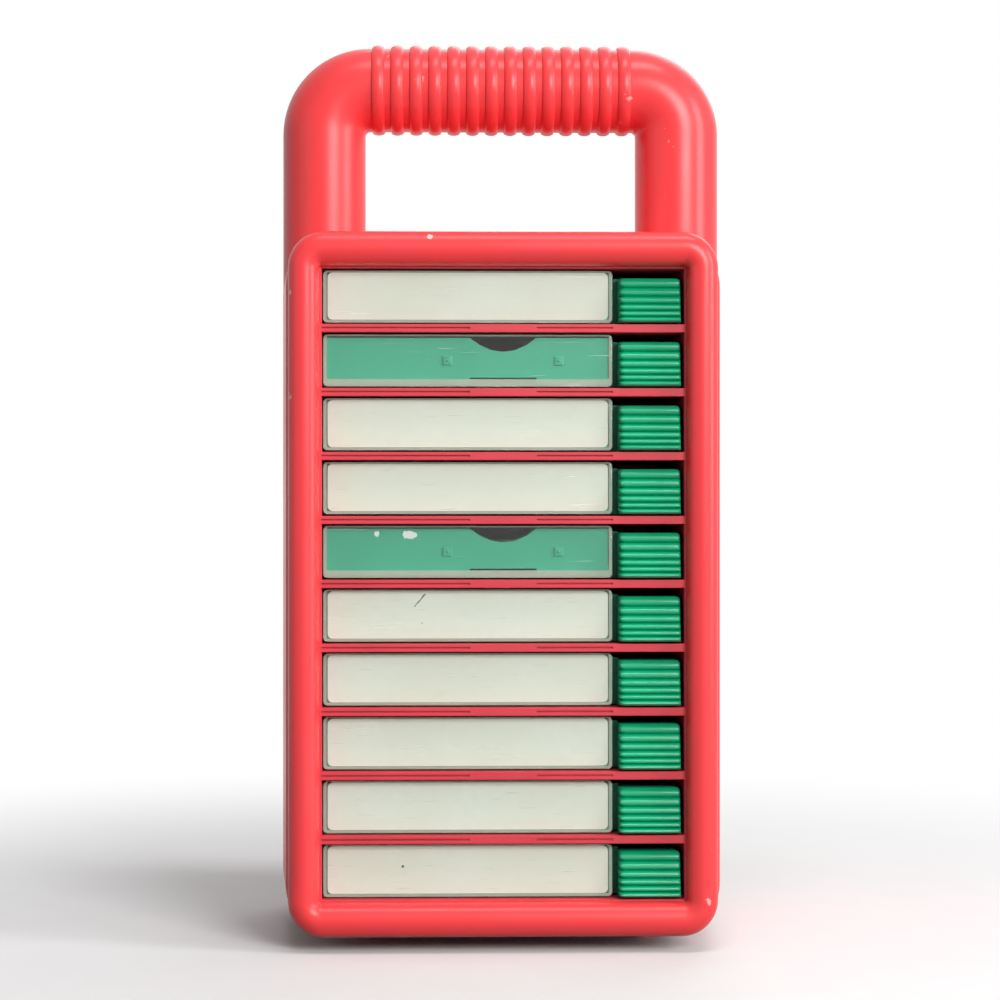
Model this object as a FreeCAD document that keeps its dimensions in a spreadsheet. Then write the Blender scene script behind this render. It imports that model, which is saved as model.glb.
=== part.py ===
"""Carrying case for compact cassettes: ten sprung drawers, each with a latch lever, in a moulded shell.

Frame: +Z up, the drawers open towards -Y, origin at the middle of the case's base. Millimetres.
"""
import FreeCAD, Part
import math
import os
import Sketcher
from FreeCAD import Vector

doc = FreeCAD.newDocument("cassette_case")

# ---- Driving sizes -------------------------------------------------------------------------------
SIZES = {
    # the compact cassette that every drawer holds
    "cassette_width": 100.4,
    "cassette_depth": 63.8,
    "cassette_height": 12.0,
    "side_play": 0.3,
    "end_play": 0.8,
    # bays and rack
    "rows": 10,
    "headroom": 3.1,
    "divider": 2.4,
    "side_gap": 2.6,
    "rack_wall": 1.8,
    "rack_back": 2.0,
    "groove_width": 0.5,
    "groove_depth": 0.6,
    "ledge_height": 1.2,
    "ledge_reach": 1.6,
    "stop_height": 3.2,
    "stop_length": 2.0,
    "keeper_height": 0.75,
    "keeper_length": 2.2,
    # drawer tray
    "running_gap": 0.3,
    # how far a feature reaches into the one it grows from
    "bite": 0.2,
    "tray_floor": 1.4,
    "tray_wall": 1.4,
    "side_wall_height": 6.0,
    "front_wall_height": 12.8,
    "front_panel": 1.4,
    "tab_width": 3.2,
    "tab_round": 1.2,
    "notch_width": 20.1,
    "notch_depth": 4.2,
    "finger_slot_length": 21.0,
    "boss_offset": 16.8,
    "boss_size": 2.7,
    "boss_rise": 0.4,
    "stop_nib": 2.2,
    "travel": 52.0,
    # clear cap and label card
    "cap_width": 87.0,
    "cap_height": 15.6,
    "cap_lift": 0.6,
    "cap_depth": 8.0,
    "cap_face": 1.2,
    "cap_wall": 0.8,
    "cap_round": 1.3,
    "cap_side_gap": 0.4,
    "cap_set_back": 2.0,
    "card_side_margin": 1.8,
    "card_end_margin": 0.95,
    "card_thickness": 0.3,
    "card_space": 0.8,
    "card_corner": 1.0,
    "fit_gap": 0.1,
    # latch lever
    "button_gap": 1.8,
    "button_side_gap": 1.1,
    "button_height": 13.5,
    "button_lift": 0.6,
    "button_wall": 1.5,
    "button_back_gap": 1.2,
    "button_top_set_back": 0.2,
    "button_lean": 3.3,
    "button_round": 1.1,
    "rib_taper": 0.89,
    "rib_rise": 0.9,
    "rib_end_cut": 1.3,
    "arm_gap": 0.4,
    "arm_thickness": 1.6,
    "arm_height": 6.8,
    "pivot_back": 21.5,
    "pivot_height": 8.6,
    "pivot_radius": 1.5,
    "pivot_gap": 0.05,
    "pivot_boss": 3.4,
    "nose_drop": 0.95,
    "nose_length": 2.0,
    "nose_back": 6.0,
    "tongue_length": 17.0,
    "tongue_thickness": 0.9,
    # eject spring, held short
    "spring_length": 8.0,
    "spring_small": 5.0,
    "spring_large": 6.8,
    "spring_band": 0.9,
    "spigot_radius": 3.2,
    "spigot_length": 2.6,
    "spigot_rib": 0.9,
    # outer case
    "wall": 2.4,
    "reveal": 0.6,
    "roll_side": 9.4,
    "roll_end": 10.3,
    "roll_rise": 5.5,
    "roll_round": 4.6,
    "roll_corner": 11.0,
    "opening_corner": 0.8,
    "roll_root": 8.0,
    "front_band": 0.7,
    "front_edge": 2.0,
    "side_band": 4.3,
    "end_band": 0.6,
    "slab_corner": 16.0,
    "back_draft": 2.0,
    "back_edge": 9.0,
    "rack_rest": 1.5,
    "foot_height": 4.0,
    "foot_radius": 6.9,
    "foot_flat": 2.6,
    "foot_spread": 41.0,
    "foot_inset": 28.5,
    # handle
    "handle_set_back": 39.5,
    "handle_radius": 13.0,
    "handle_inset": 0.1,
    "handle_bend": 14.4,
    "window_height": 35.5,
    "ring_count": 14,
    "ring_pitch": 5.93,
    "ring_width": 3.6,
    "ring_rise": 0.9,
    "ring_foot": 0.4,
    # screws
    "screw_radius": 1.45,
    "screw_length": 12.0,
    "screw_head_radius": 2.8,
    "screw_head_height": 2.0,
    "screw_gap": 0.1,
    "screw_grip": 5.0,
    "well_radius": 3.2,
    "boss_wall": 1.4,
    "boss_stop": 8.5,
    "screw_side": 4.2,
    "screw_low": 22.0,
    "screw_high": 22.0,
    "screw_handle_drop": 12.0,
}

sheet = doc.addObject("Spreadsheet::Sheet", "sizes")
for line, (name, value) in enumerate(SIZES.items(), start=1):
    sheet.set(f"A{line}", name)
    sheet.set(f"B{line}", str(value))
    sheet.setAlias(f"B{line}", name)
doc.recompute()
places = doc.addObject("App::VarSet", "places")


class Size:
    """A length kept both as the expression that binds it to the sheet and as its value now."""

    def __init__(self, text, value):
        self.text = text
        self.value = value

    def join(self, sign, other, value):
        return Size(f"({self.text} {sign} {size(other).text})", value)

    def __add__(self, other):
        return self.join("+", other, self.value + size(other).value)

    def __sub__(self, other):
        return self.join("-", other, self.value - size(other).value)

    def __mul__(self, other):
        return self.join("*", other, self.value * size(other).value)

    def __truediv__(self, other):
        return self.join("/", other, self.value / size(other).value)

    def __neg__(self):
        return Size(f"(-1 * {self.text})", -self.value)


def size(value):
    """A plain number or a Size, as a Size."""
    return value if isinstance(value, Size) else Size(repr(float(value)), float(value))


def cell(name):
    """The driving size of that name."""
    return Size(f"sizes.{name}", float(sheet.get(name)))


def place(name, value):
    """A derived size or position, kept under its own name in the document."""
    places.addProperty("App::PropertyFloat", name)
    places.setExpression(name, value.text)
    return Size(f"places.{name}", value.value)


# ---- Derived sizes and places --------------------------------------------------------------------
rows = int(sheet.get("rows"))
wall = cell("wall")
gap = cell("running_gap")
floor = cell("tray_floor")
tray_wall = cell("tray_wall")
reveal = cell("reveal")

bay_height = place("bay_height", gap + floor + cell("cassette_height") + cell("headroom"))
row_pitch = place("row_pitch", bay_height + cell("divider"))
rows_below = place("rows_below", (cell("rows") - 1) * row_pitch)

room_half = place("room_half", cell("cassette_width") / 2 + cell("side_play"))
tray_half = place("tray_half", room_half + tray_wall)
bay_half = place("bay_half", tray_half + cell("side_gap"))
opening_half = place("opening_half", bay_half + reveal)
roll_half = place("roll_half", opening_half + cell("roll_side"))
case_half = place("case_half", roll_half + cell("side_band"))
front_half = place("front_half", roll_half + cell("front_band"))
back_half = place("back_half", case_half - cell("back_draft"))

room_depth = place("room_depth", cell("cassette_depth") + cell("end_play"))
inner_depth = cell("cap_set_back") + cell("cap_depth") + tray_wall + room_depth + tray_wall
rack_depth = place("rack_depth", inner_depth + cell("spring_length") + cell("rack_back"))
case_depth = place("case_depth", cell("roll_rise") + rack_depth + cell("rack_rest") + wall)
front_plane = place("front_plane", cell("roll_rise") - case_depth / 2)
crest = place("crest", -case_depth / 2)
back_plane = place("back_plane", case_depth / 2)
rack_end = place("rack_end", front_plane + rack_depth)
rack_back_face = place("rack_back_face", rack_end - cell("rack_back"))

cap_front = place("cap_front", front_plane + cell("cap_set_back"))
wall_front = place("wall_front", cap_front + cell("cap_depth"))
room_front = place("room_front", wall_front + tray_wall)
room_end = place("room_end", room_front + room_depth)
tray_end = place("tray_end", room_end + tray_wall)

slab_low = cell("foot_height")
roll_low = place("roll_low", slab_low + cell("end_band"))
opening_low = place("opening_low", roll_low + cell("roll_end"))
last_floor = place("last_floor", opening_low + reveal)
bay_floor = place("bay_floor", last_floor + rows_below)
bay_top = place("bay_top", bay_floor + bay_height)
opening_high = place("opening_high", bay_top + reveal)
roll_high = place("roll_high", opening_high + cell("roll_end"))
slab_high = place("slab_high", roll_high + cell("end_band"))

handle_radius = cell("handle_radius")
handle_half = place("handle_half", case_half - handle_radius - cell("handle_inset"))
grip_height = place("grip_height", slab_high + cell("window_height") + handle_radius)
parting = place("parting", front_plane + cell("handle_set_back"))

floor_top = place("floor_top", bay_floor + gap + floor)
ledge_low = place("ledge_low", floor_top + gap)
ledge_high = place("ledge_high", ledge_low + cell("ledge_height"))
ledge_start = place("ledge_start", room_front + 1.0)
ledge_edge = place("ledge_edge", bay_half - cell("ledge_reach"))
cap_left = place("cap_left", cell("cap_side_gap") - bay_half)
cap_right = place("cap_right", cap_left + cell("cap_width"))
cap_low = place("cap_low", bay_floor + cell("cap_lift"))
button_left = place("button_left", cap_right + cell("button_gap"))
button_right = place("button_right", bay_half - cell("button_side_gap"))
button_low = place("button_low", bay_floor + cell("button_lift"))
button_high = place("button_high", button_low + cell("button_height"))
button_back = place("button_back", wall_front - cell("button_back_gap"))
arm_in = place("arm_in", tray_half + cell("arm_gap"))
arm_out = place("arm_out", arm_in + cell("arm_thickness"))
pivot_y = place("pivot_y", room_front + cell("pivot_back"))
pivot_z = place("pivot_z", bay_floor + cell("pivot_height"))
arm_low = place("arm_low", pivot_z - cell("arm_height") / 2)
arm_high = place("arm_high", pivot_z + cell("arm_height") / 2)
nose_front = place("nose_front", room_front + cell("nose_back"))
spring_height = place("spring_height", bay_floor + bay_height / 2)
boss_front = place("boss_front", cap_front + cell("cap_face") + cell("card_space"))
doc.recompute()

# ---- Sketches and features -----------------------------------------------------------------------
# For each origin plane: the sign that turns a position along the plane's axis into its offset.
AXIS_SIGN = {"XY_Plane": 1, "XZ_Plane": -1, "YZ_Plane": 1}


def body(label):
    """A new sub-part of its own, named for the piece."""
    made = doc.addObject("PartDesign::Body", label)
    made.Label = label
    return made


def origin(part, role):
    """One of the planes or axes of a sub-part's own origin."""
    return [feature for feature in part.Origin.OriginFeatures if feature.Role == role][0]


def new_sketch(part, name, role, offset=0.0, across=0.0, up=0.0):
    """A sketch on a plane parallel to one of the origin planes."""
    sketch = part.newObject("Sketcher::SketchObject", name)
    sketch.AttachmentSupport = [(origin(part, role), "")]
    sketch.MapMode = "FlatFace"
    sketch.setExpression("AttachmentOffset.Base.x", size(across).text)
    sketch.setExpression("AttachmentOffset.Base.y", size(up).text)
    sketch.setExpression("AttachmentOffset.Base.z", size(offset).text)
    return sketch


def pin_point(sketch, side, end, point):
    """Hold one end of a side at a point given by two sizes."""
    for kind, value in zip(("DistanceX", "DistanceY"), point):
        number = sketch.addConstraint(Sketcher.Constraint(kind, -1, 1, side, end, size(value).value))
        sketch.setExpression(f"Constraints[{number}]", size(value).text)


def arc_through(start, end, radius, bulge):
    """The short arc between two points; bulge is +1 to swell to the right of start to end."""
    chord = end - start
    middle = (start + end) * 0.5
    normal = Vector(chord.y, -chord.x, 0).normalize()
    reach = math.sqrt(max(radius ** 2 - chord.Length ** 2 / 4, 0.0))
    centre = middle - normal * (bulge * reach)
    top = centre + (middle + normal * bulge * 0.001 - centre).normalize() * radius
    return Part.Arc(start, top, end) if bulge > 0 else Part.Arc(end, top, start)


def outline(sketch, points, arcs=()):
    """A closed outline. arcs maps a side's number to (radius, bulge); other sides are straight."""
    arcs = dict(arcs)
    flat = [Vector(size(x).value, size(y).value, 0) for x, y in points]
    first = sketch.GeometryCount
    for index, start in enumerate(flat):
        end = flat[(index + 1) % len(flat)]
        if index in arcs:
            radius, bulge = arcs[index]
            sketch.addGeometry(arc_through(start, end, size(radius).value, bulge), False)
        else:
            sketch.addGeometry(Part.LineSegment(start, end), False)
    ends = []
    for index, start in enumerate(flat):
        number = first + index
        drawn = sketch.Geometry[number]
        begin = 1 if (drawn.StartPoint - start).Length < (drawn.EndPoint - start).Length else 2
        ends.append((number, begin, 3 - begin))
    for index, (number, begin, finish) in enumerate(ends):
        following = ends[(index + 1) % len(ends)]
        sketch.addConstraint(Sketcher.Constraint("Coincident", number, finish, following[0], following[1]))
        pin_point(sketch, number, begin, points[index])
        if index in arcs:
            radius = size(arcs[index][0])
            held = sketch.addConstraint(Sketcher.Constraint("Radius", number, radius.value))
            sketch.setExpression(f"Constraints[{held}]", radius.text)


def disc(sketch, centre, radius):
    """A full circle."""
    x, y = size(centre[0]), size(centre[1])
    number = sketch.addGeometry(Part.Circle(Vector(x.value, y.value, 0), Vector(0, 0, 1), size(radius).value))
    pin_point(sketch, number, 3, centre)
    held = sketch.addConstraint(Sketcher.Constraint("Radius", number, size(radius).value))
    sketch.setExpression(f"Constraints[{held}]", size(radius).text)


def polygon(sketch, centre, radius, sides):
    """A regular polygon inside a circle."""
    x, y, radius = size(centre[0]), size(centre[1]), size(radius)
    turn = 2 * math.pi / sides
    outline(sketch, [(x + radius * math.cos(turn * n), y + radius * math.sin(turn * n)) for n in range(sides)])


def box_points(left, right, low, high):
    """The four corners of a rectangle."""
    return [(left, low), (right, low), (right, high), (left, high)]


def round_box(left, right, low, high, radius):
    """Corners and arcs of a rectangle with rounded corners."""
    left, right, low, high = size(left), size(right), size(low), size(high)
    points = [
        (left + radius, low), (right - radius, low), (right, low + radius), (right, high - radius),
        (right - radius, high), (left + radius, high), (left, high - radius), (left, low + radius),
    ]
    return points, {side: (radius, 1) for side in (1, 3, 5, 7)}


def checked(part, feature, adds):
    """Recompute, and make sure that the feature added or took material, or for None changed it."""
    before = part.Shape.Volume if part.Shape and not part.Shape.isNull() else 0.0
    part.Tip = feature
    doc.recompute()
    after = part.Shape.Volume
    wrong_way = adds is not None and (after > before) != adds
    if wrong_way or after == before or "Invalid" in feature.State:
        raise RuntimeError(f"{part.Label}: {feature.Label} changed {before:.1f} to {after:.1f}")
    return feature


def pad(part, name, role, low, high, draw):
    """Add material between two positions along the plane's axis."""
    low, high = size(low), size(high)
    start = low if AXIS_SIGN[role] > 0 else -high
    sketch = new_sketch(part, f"{name}_sketch", role, start)
    draw(sketch)
    feature = part.newObject("PartDesign::Pad", name)
    feature.Profile = sketch
    feature.setExpression("Length", (high - low).text)
    return checked(part, feature, True)


def pocket(part, name, role, low, high, draw):
    """Take material away between two positions along the plane's axis."""
    low, high = size(low), size(high)
    start = high if AXIS_SIGN[role] > 0 else -low
    sketch = new_sketch(part, f"{name}_sketch", role, start)
    draw(sketch)
    feature = part.newObject("PartDesign::Pocket", name)
    feature.Profile = sketch
    feature.setExpression("Length", (high - low).text)
    return checked(part, feature, False)


def rectangle(left, right, low, high):
    """A drawing of one rectangle."""
    return lambda sketch: outline(sketch, box_points(left, right, low, high))


def cross(x, y, reach, half):
    """A drawing of an upright cross, the usual section of a moulded peg."""
    x, y, reach, half = size(x), size(y), size(reach), size(half)
    corners = [(reach, half), (half, half), (half, reach)]
    corners += [(-a, b) for a, b in reversed(corners)]
    corners += [(-a, -b) for a, b in corners]
    return lambda sketch: outline(sketch, [(x + a, y + b) for a, b in corners])


def rounded(left, right, low, high, radius):
    """A drawing of one rectangle with rounded corners."""
    return lambda sketch: outline(sketch, *round_box(left, right, low, high, radius))


def clipped(left, right, low, high, corner):
    """A drawing of one rectangle with its corners cut off."""
    points = [
        (left + corner, low), (right - corner, low), (right, low + corner), (right, high - corner),
        (right - corner, high), (left + corner, high), (left, high - corner), (left, low + corner),
    ]
    return lambda sketch: outline(sketch, points)


def circle(x, y, radius):
    """A drawing of one circle."""
    return lambda sketch: disc(sketch, (x, y), radius)


def round_edges(part, name, radius, chosen):
    """Fillet the edges of the present shape that a test picks."""
    base = part.Tip
    edges = [f"Edge{i + 1}" for i, edge in enumerate(base.Shape.Edges) if chosen(edge)]
    feature = part.newObject("PartDesign::Fillet", name)
    feature.Base = (base, edges)
    feature.setExpression("Radius", size(radius).text)
    return checked(part, feature, None)


def bevel_edges(part, name, width, chosen):
    """Chamfer the edges that a test picks."""
    base = part.Tip
    edges = [f"Edge{i + 1}" for i, edge in enumerate(base.Shape.Edges) if chosen(edge)]
    feature = part.newObject("PartDesign::Chamfer", name)
    feature.Base = (base, edges)
    feature.setExpression("Size", size(width).text)
    return checked(part, feature, None)


def in_plane(edge, axis, position, slack=1e-4):
    """Whether an edge lies in the plane at a position along an axis."""
    box = edge.BoundBox
    low, high = getattr(box, axis + "Min"), getattr(box, axis + "Max")
    return abs(low - size(position).value) < slack and abs(high - size(position).value) < slack


def repeat(part, name, features, role, length, count, reverse=False):
    """Repeat features along an axis of the sub-part's origin."""
    feature = part.newObject("PartDesign::LinearPattern", name)
    feature.Originals = features
    feature.Direction = (origin(part, role), [""])
    feature.setExpression("Length", size(length).text)
    feature.setExpression("Occurrences", size(count).text)
    feature.Reversed = reverse
    return checked(part, feature, None)


def row_copy(first, label, row):
    """The same piece in a lower row."""
    made = body(label)
    feature = made.newObject("PartDesign::FeatureBase", "same_piece")
    feature.BaseFeature = first
    made.Tip = feature
    made.setExpression("Placement.Base.z", f"-{row - 1} * places.row_pitch")
    return made


def by_row(make, name, skip=()):
    """The piece in every row but the skipped ones, the first row's made and the others copied."""
    first = make(f"{name}_01")
    copies = [row_copy(first, f"{name}_{row:02d}", row) for row in range(2, rows + 1) if row not in skip]
    return [first] + copies


# The share of a corner's radius at which a straight cut only just stays inside its arc.
CLIP_SHARE = 0.6


# ---- Outer case ----------------------------------------------------------------------------------
def case_form(label, inset, corner_share):
    """The slab and the loop handle, drawn inwards by inset; without an inset they are rounded."""
    form = body(label)
    inner = inset.value > 0
    low, high = slab_low + inset, slab_high - inset
    front, back = front_plane + inset, back_plane - inset
    wide, narrow, rear = case_half - inset, front_half - inset, back_half - inset
    pad(form, "slab", "XY_Plane", low, high, lambda sketch: outline(sketch, [
        (-narrow, front), (narrow, front), (wide, parting), (rear, back), (-rear, back), (-wide, parting)]))
    finish_edges = bevel_edges if inner else round_edges
    finish_edges(form, "corners", (cell("slab_corner") - inset) * corner_share, lambda e: (
        (in_plane(e, "Z", low) or in_plane(e, "Z", high)) and abs(e.CenterOfMass.x) > roll_half.value))
    if not inner:
        round_edges(form, "front_edges", cell("front_edge"), lambda e: in_plane(e, "Y", front))
    finish_edges(form, "back_edges", (cell("back_edge") - inset) * corner_share,
                 lambda e: in_plane(e, "Y", back))
    start = slab_high - cell("slab_corner")
    bend = cell("handle_bend")
    spine = new_sketch(form, "handle_line", "XZ_Plane", -parting)
    draw_loop(spine, handle_half, start, grip_height, bend)
    tube = new_sketch(form, "handle_round", "XY_Plane", start)
    if inner:
        polygon(tube, (-handle_half, parting), handle_radius - inset, 8)
    else:
        disc(tube, (-handle_half, parting), handle_radius)
    handle = form.newObject("PartDesign::AdditivePipe", "handle")
    handle.Profile = tube
    handle.Spine = (spine, [f"Edge{i}" for i in range(1, 6)])
    checked(form, handle, True)
    return form


def draw_loop(sketch, half, low, high, bend):
    """An open path up one side, over and down the other, with rounded corners."""
    half, low, high, bend = size(half), size(low), size(high), size(bend)
    stops = [
        (-half, low), (-half, high - bend), (bend - half, high),
        (half - bend, high), (half, high - bend), (half, low),
    ]
    flat = [Vector(x.value, y.value, 0) for x, y in stops]
    for index in range(5):
        if index in (1, 3):
            side = arc_through(flat[index], flat[index + 1], bend.value, -1)
        else:
            side = Part.LineSegment(flat[index], flat[index + 1])
        sketch.addGeometry(side, False)
    for index in range(5):
        drawn = sketch.Geometry[index]
        begin = 1 if (drawn.StartPoint - flat[index]).Length < 1e-6 else 2
        pin_point(sketch, index, begin, stops[index])
        pin_point(sketch, index, 3 - begin, stops[index + 1])


def add_rings(form):
    """Rounded rings along the grip."""
    ring = cell("ring_width")
    root = cell("handle_radius") - cell("ring_foot")
    left = -(cell("ring_count") - 1) * cell("ring_pitch") / 2
    sketch = new_sketch(form, "ring_sketch", "XZ_Plane", -parting, 0.0, grip_height)
    crown = cell("handle_radius") + cell("ring_rise")
    outline(sketch, [
        (left - ring / 2, root - wall / 2), (left + ring / 2, root - wall / 2), (left + ring / 2, root),
        (left + ring / 4, crown), (left - ring / 4, crown), (left - ring / 2, root),
    ])
    feature = form.newObject("PartDesign::Revolution", "grip_ring")
    feature.Profile = sketch
    feature.ReferenceAxis = (sketch, ["H_Axis"])
    feature.Angle = 360
    checked(form, feature, True)
    repeat(form, "grip_rings", [feature], "X_Axis", (cell("ring_count") - 1) * cell("ring_pitch"),
           cell("ring_count"))


def add_front_frame(form):
    """The rolled frame that stands proud round the drawers."""
    def drawing(sketch):
        outline(sketch, *round_box(-roll_half, roll_half, roll_low, roll_high, cell("roll_corner")))
        outline(sketch, *round_box(-opening_half, opening_half, opening_low, opening_high,
                                   cell("opening_corner")))
    pad(form, "front_frame", "XZ_Plane", crest, crest + cell("roll_root"), drawing)
    round_edges(form, "front_roll", cell("roll_round"), lambda e: in_plane(e, "Y", crest))


def add_feet(form):
    """Four shallow domes with a small flat each."""
    rise, radius, flat = cell("foot_height"), cell("foot_radius"), cell("foot_flat")
    spread, inset = cell("foot_spread"), cell("foot_inset")
    for number, (x, y) in enumerate(
        [(-spread, crest + inset), (spread, crest + inset),
         (-spread, back_plane - inset), (spread, back_plane - inset)]
    ):
        sketch = new_sketch(form, f"foot_sketch_{number}", "XZ_Plane", -size(y), x, 0.0)
        outline(sketch, [
            (0.0, 0.0), (flat, 0.0), (radius * 0.75, rise * 0.35), (radius, rise), (radius, rise + 1.0),
            (0.0, rise + 1.0),
        ])
        feature = form.newObject("PartDesign::Revolution", f"foot_{number}")
        feature.Profile = sketch
        feature.ReferenceAxis = (sketch, ["V_Axis"])
        feature.Angle = 360
        checked(form, feature, True)


def block(name, left, right, front, back, low, high):
    """A plain block bound to the sheet."""
    made = doc.addObject("Part::Box", name)
    for key, span in zip(("Length", "Width", "Height"), ((left, right), (front, back), (low, high))):
        made.setExpression(key, (size(span[1]) - size(span[0])).text)
    for key, value in zip("xyz", (left, front, low)):
        made.setExpression(f"Placement.Base.{key}", size(value).text)
    return made


def rod(name, x, z, front, back, radius):
    """A many-sided bar along Y bound to the sheet."""
    made = doc.addObject("Part::Prism", name)
    made.Polygon = 12
    made.Placement = FreeCAD.Placement(Vector(), FreeCAD.Rotation(Vector(1, 0, 0), -90))
    made.setExpression("Circumradius", size(radius).text)
    made.setExpression("Height", (size(back) - size(front)).text)
    for key, value in zip("xyz", (x, front, z)):
        made.setExpression(f"Placement.Base.{key}", size(value).text)
    return made


def join(kind, name, pieces):
    """Fuse or intersect several shapes."""
    made = doc.addObject(kind, name)
    made.Shapes = pieces
    return made


def cut(name, base, tool):
    """One shape less another."""
    made = doc.addObject("Part::Cut", name)
    made.Base = base
    made.Tool = tool
    return made


def screw_spots():
    """Where the six screws stand: four beside the rack and two in the handle's columns."""
    side = case_half - wall - cell("screw_side")
    low, high = slab_low + cell("screw_low"), slab_high - cell("screw_high")
    top = grip_height - cell("handle_bend") - cell("screw_handle_drop")
    return [(side, low), (-side, low), (side, high), (-side, high), (handle_half, top), (-handle_half, top)]


def shells():
    """The front and rear mouldings, parted at the middle of the handle."""
    outside = case_form("case_outside", size(0.0), 1.0)
    add_rings(outside)
    add_front_frame(outside)
    add_feet(outside)
    inside = case_form("case_inside", wall, CLIP_SHARE)
    hollow = cut("hollow_case", outside, inside)
    reach = case_half * 6
    front_space = block("front_space", -reach, reach, crest - reach, parting, -reach, reach)
    rear_space = block("rear_space", -reach, reach, parting, back_plane + reach, -reach, reach)
    front_half = join("Part::MultiCommon", "front_half", [hollow, front_space])
    rear_half = join("Part::MultiCommon", "rear_half", [hollow, rear_space])
    seat = parting + cell("screw_grip")
    tip = seat - cell("screw_length")
    shank_hole = cell("screw_radius") + cell("screw_gap")
    well = cell("well_radius")
    front_bosses, pilots, rear_bosses, wells = [], [], [], []
    spots = screw_spots()
    for number, (x, z) in enumerate(spots, start=1):
        in_handle = number > 4
        rear_end = parting + handle_radius - 1.0 if in_handle else back_plane - cell("boss_stop")
        front_end = parting - handle_radius + 1.0 if in_handle else tip - 1.5
        front_bosses.append(rod(f"front_boss_{number}", x, z, front_end, parting, well + cell("boss_wall")))
        rear_bosses.append(rod(f"rear_boss_{number}", x, z, parting, rear_end, well + cell("boss_wall")))
        pilots.append(rod(f"pilot_{number}", x, z, tip - 1.0, parting, cell("screw_radius")))
        wells.append(rod(f"well_{number}", x, z, seat, back_plane + 5.0, well))
        wells.append(rod(f"clear_hole_{number}", x, z, parting, seat, shank_hole))

    rack_half = bay_half + cell("rack_wall") + cell("bite")
    mouth = block("rack_mouth", -rack_half, rack_half, front_plane, front_plane + wall + 5.0,
                  last_floor - cell("rack_wall") - cell("bite"), bay_top + cell("rack_wall") + cell("bite"))
    rests = [
        block(f"rack_rest_{number}", x - 2.0, x + 2.0, rack_end, back_plane - wall + 0.6,
              last_floor + 6.0, bay_top - 6.0)
        for number, x in enumerate((-bay_half * 0.6, bay_half * 0.6), start=1)
    ]
    front = cut("front_shell", join("Part::MultiFuse", "front_solid", [front_half] + front_bosses),
                join("Part::MultiFuse", "front_holes", pilots + [mouth]))
    rear = cut("rear_shell", join("Part::MultiFuse", "rear_solid", [rear_half] + rear_bosses + rests),
               join("Part::MultiFuse", "rear_holes", wells))
    return [front, rear]


def case_screws():
    """The six screws, as one group."""
    seat = parting + cell("screw_grip")
    screws = []
    for number, (x, z) in enumerate(screw_spots(), start=1):
        shank = rod(f"screw_shank_{number}", x, z, seat - cell("screw_length"), seat, cell("screw_radius"))
        head = rod(f"screw_head_{number}", x, z, seat, seat + cell("screw_head_height"),
                   cell("screw_head_radius"))
        screws.append(join("Part::MultiFuse", f"screw_{number}", [shank, head]))
    group = doc.addObject("Part::Compound", "case_screws")
    group.Links = screws
    return group


# ---- Drawer rack ---------------------------------------------------------------------------------
def drawer_rack(label):
    """The ten bays: dividers, side walls with ledges, stops and keepers, and a back with spigots."""
    part = body(label)
    outer_half = bay_half + cell("rack_wall")
    pad(part, "rack_block", "XZ_Plane", front_plane, rack_end,
        rectangle(-outer_half, outer_half, last_floor - cell("rack_wall"), bay_top + cell("rack_wall")))
    bay = pocket(part, "bay", "XZ_Plane", front_plane, rack_back_face,
                 rectangle(-bay_half, bay_half, bay_floor, bay_top))
    repeat(part, "bays", [bay], "Z_Axis", rows_below, cell("rows"), True)

    def ledges(sketch):
        outline(sketch, box_points(-bay_half - cell("bite"), -ledge_edge, ledge_low, ledge_high))
        outline(sketch, box_points(ledge_edge, bay_half + cell("bite"), ledge_low, ledge_high))
    ledge = pad(part, "guide_ledges", "XZ_Plane", ledge_start, rack_back_face + cell("bite"), ledges)
    stop_back = room_end - cell("travel") - gap
    stop = pad(part, "stop_block", "XZ_Plane", stop_back - cell("stop_length"), stop_back,
               rectangle(-bay_half - cell("bite"), -ledge_edge, ledge_low, ledge_high + cell("stop_height")))
    keeper_back = nose_front - gap
    keeper = pad(part, "latch_keeper", "XZ_Plane", keeper_back - cell("keeper_length"), keeper_back,
                 rectangle(ledge_edge, bay_half + cell("bite"), ledge_low,
                           ledge_high + cell("keeper_height")))
    spigot = pad(part, "spring_spigot", "XZ_Plane", rack_back_face - cell("spigot_length"),
                 rack_back_face + cell("bite"),
                 cross(0.0, spring_height, cell("spigot_radius"), cell("spigot_rib")))
    repeat(part, "bay_fittings", [ledge, stop, keeper, spigot], "Z_Axis", rows_below, cell("rows"), True)

    groove = cell("groove_width") / 2
    line = bay_floor - cell("divider") / 2
    notch = cell("notch_width") / 2

    def grooves(sketch):
        outline(sketch, box_points(-bay_half, -notch, line - groove, line + groove))
        outline(sketch, box_points(notch, cap_right, line - groove, line + groove))
    lines = pocket(part, "divider_lines", "XZ_Plane", front_plane, front_plane + cell("groove_depth"), grooves)
    repeat(part, "all_divider_lines", [lines], "Z_Axis", rows_below - row_pitch, cell("rows") - 1, True)
    return part


# Where the finger notch's curve has its points, as shares of its half width.
NOTCH_SHARES = (-1.0, -0.7, -0.35, 0.0, 0.35, 0.7, 1.0)


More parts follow.
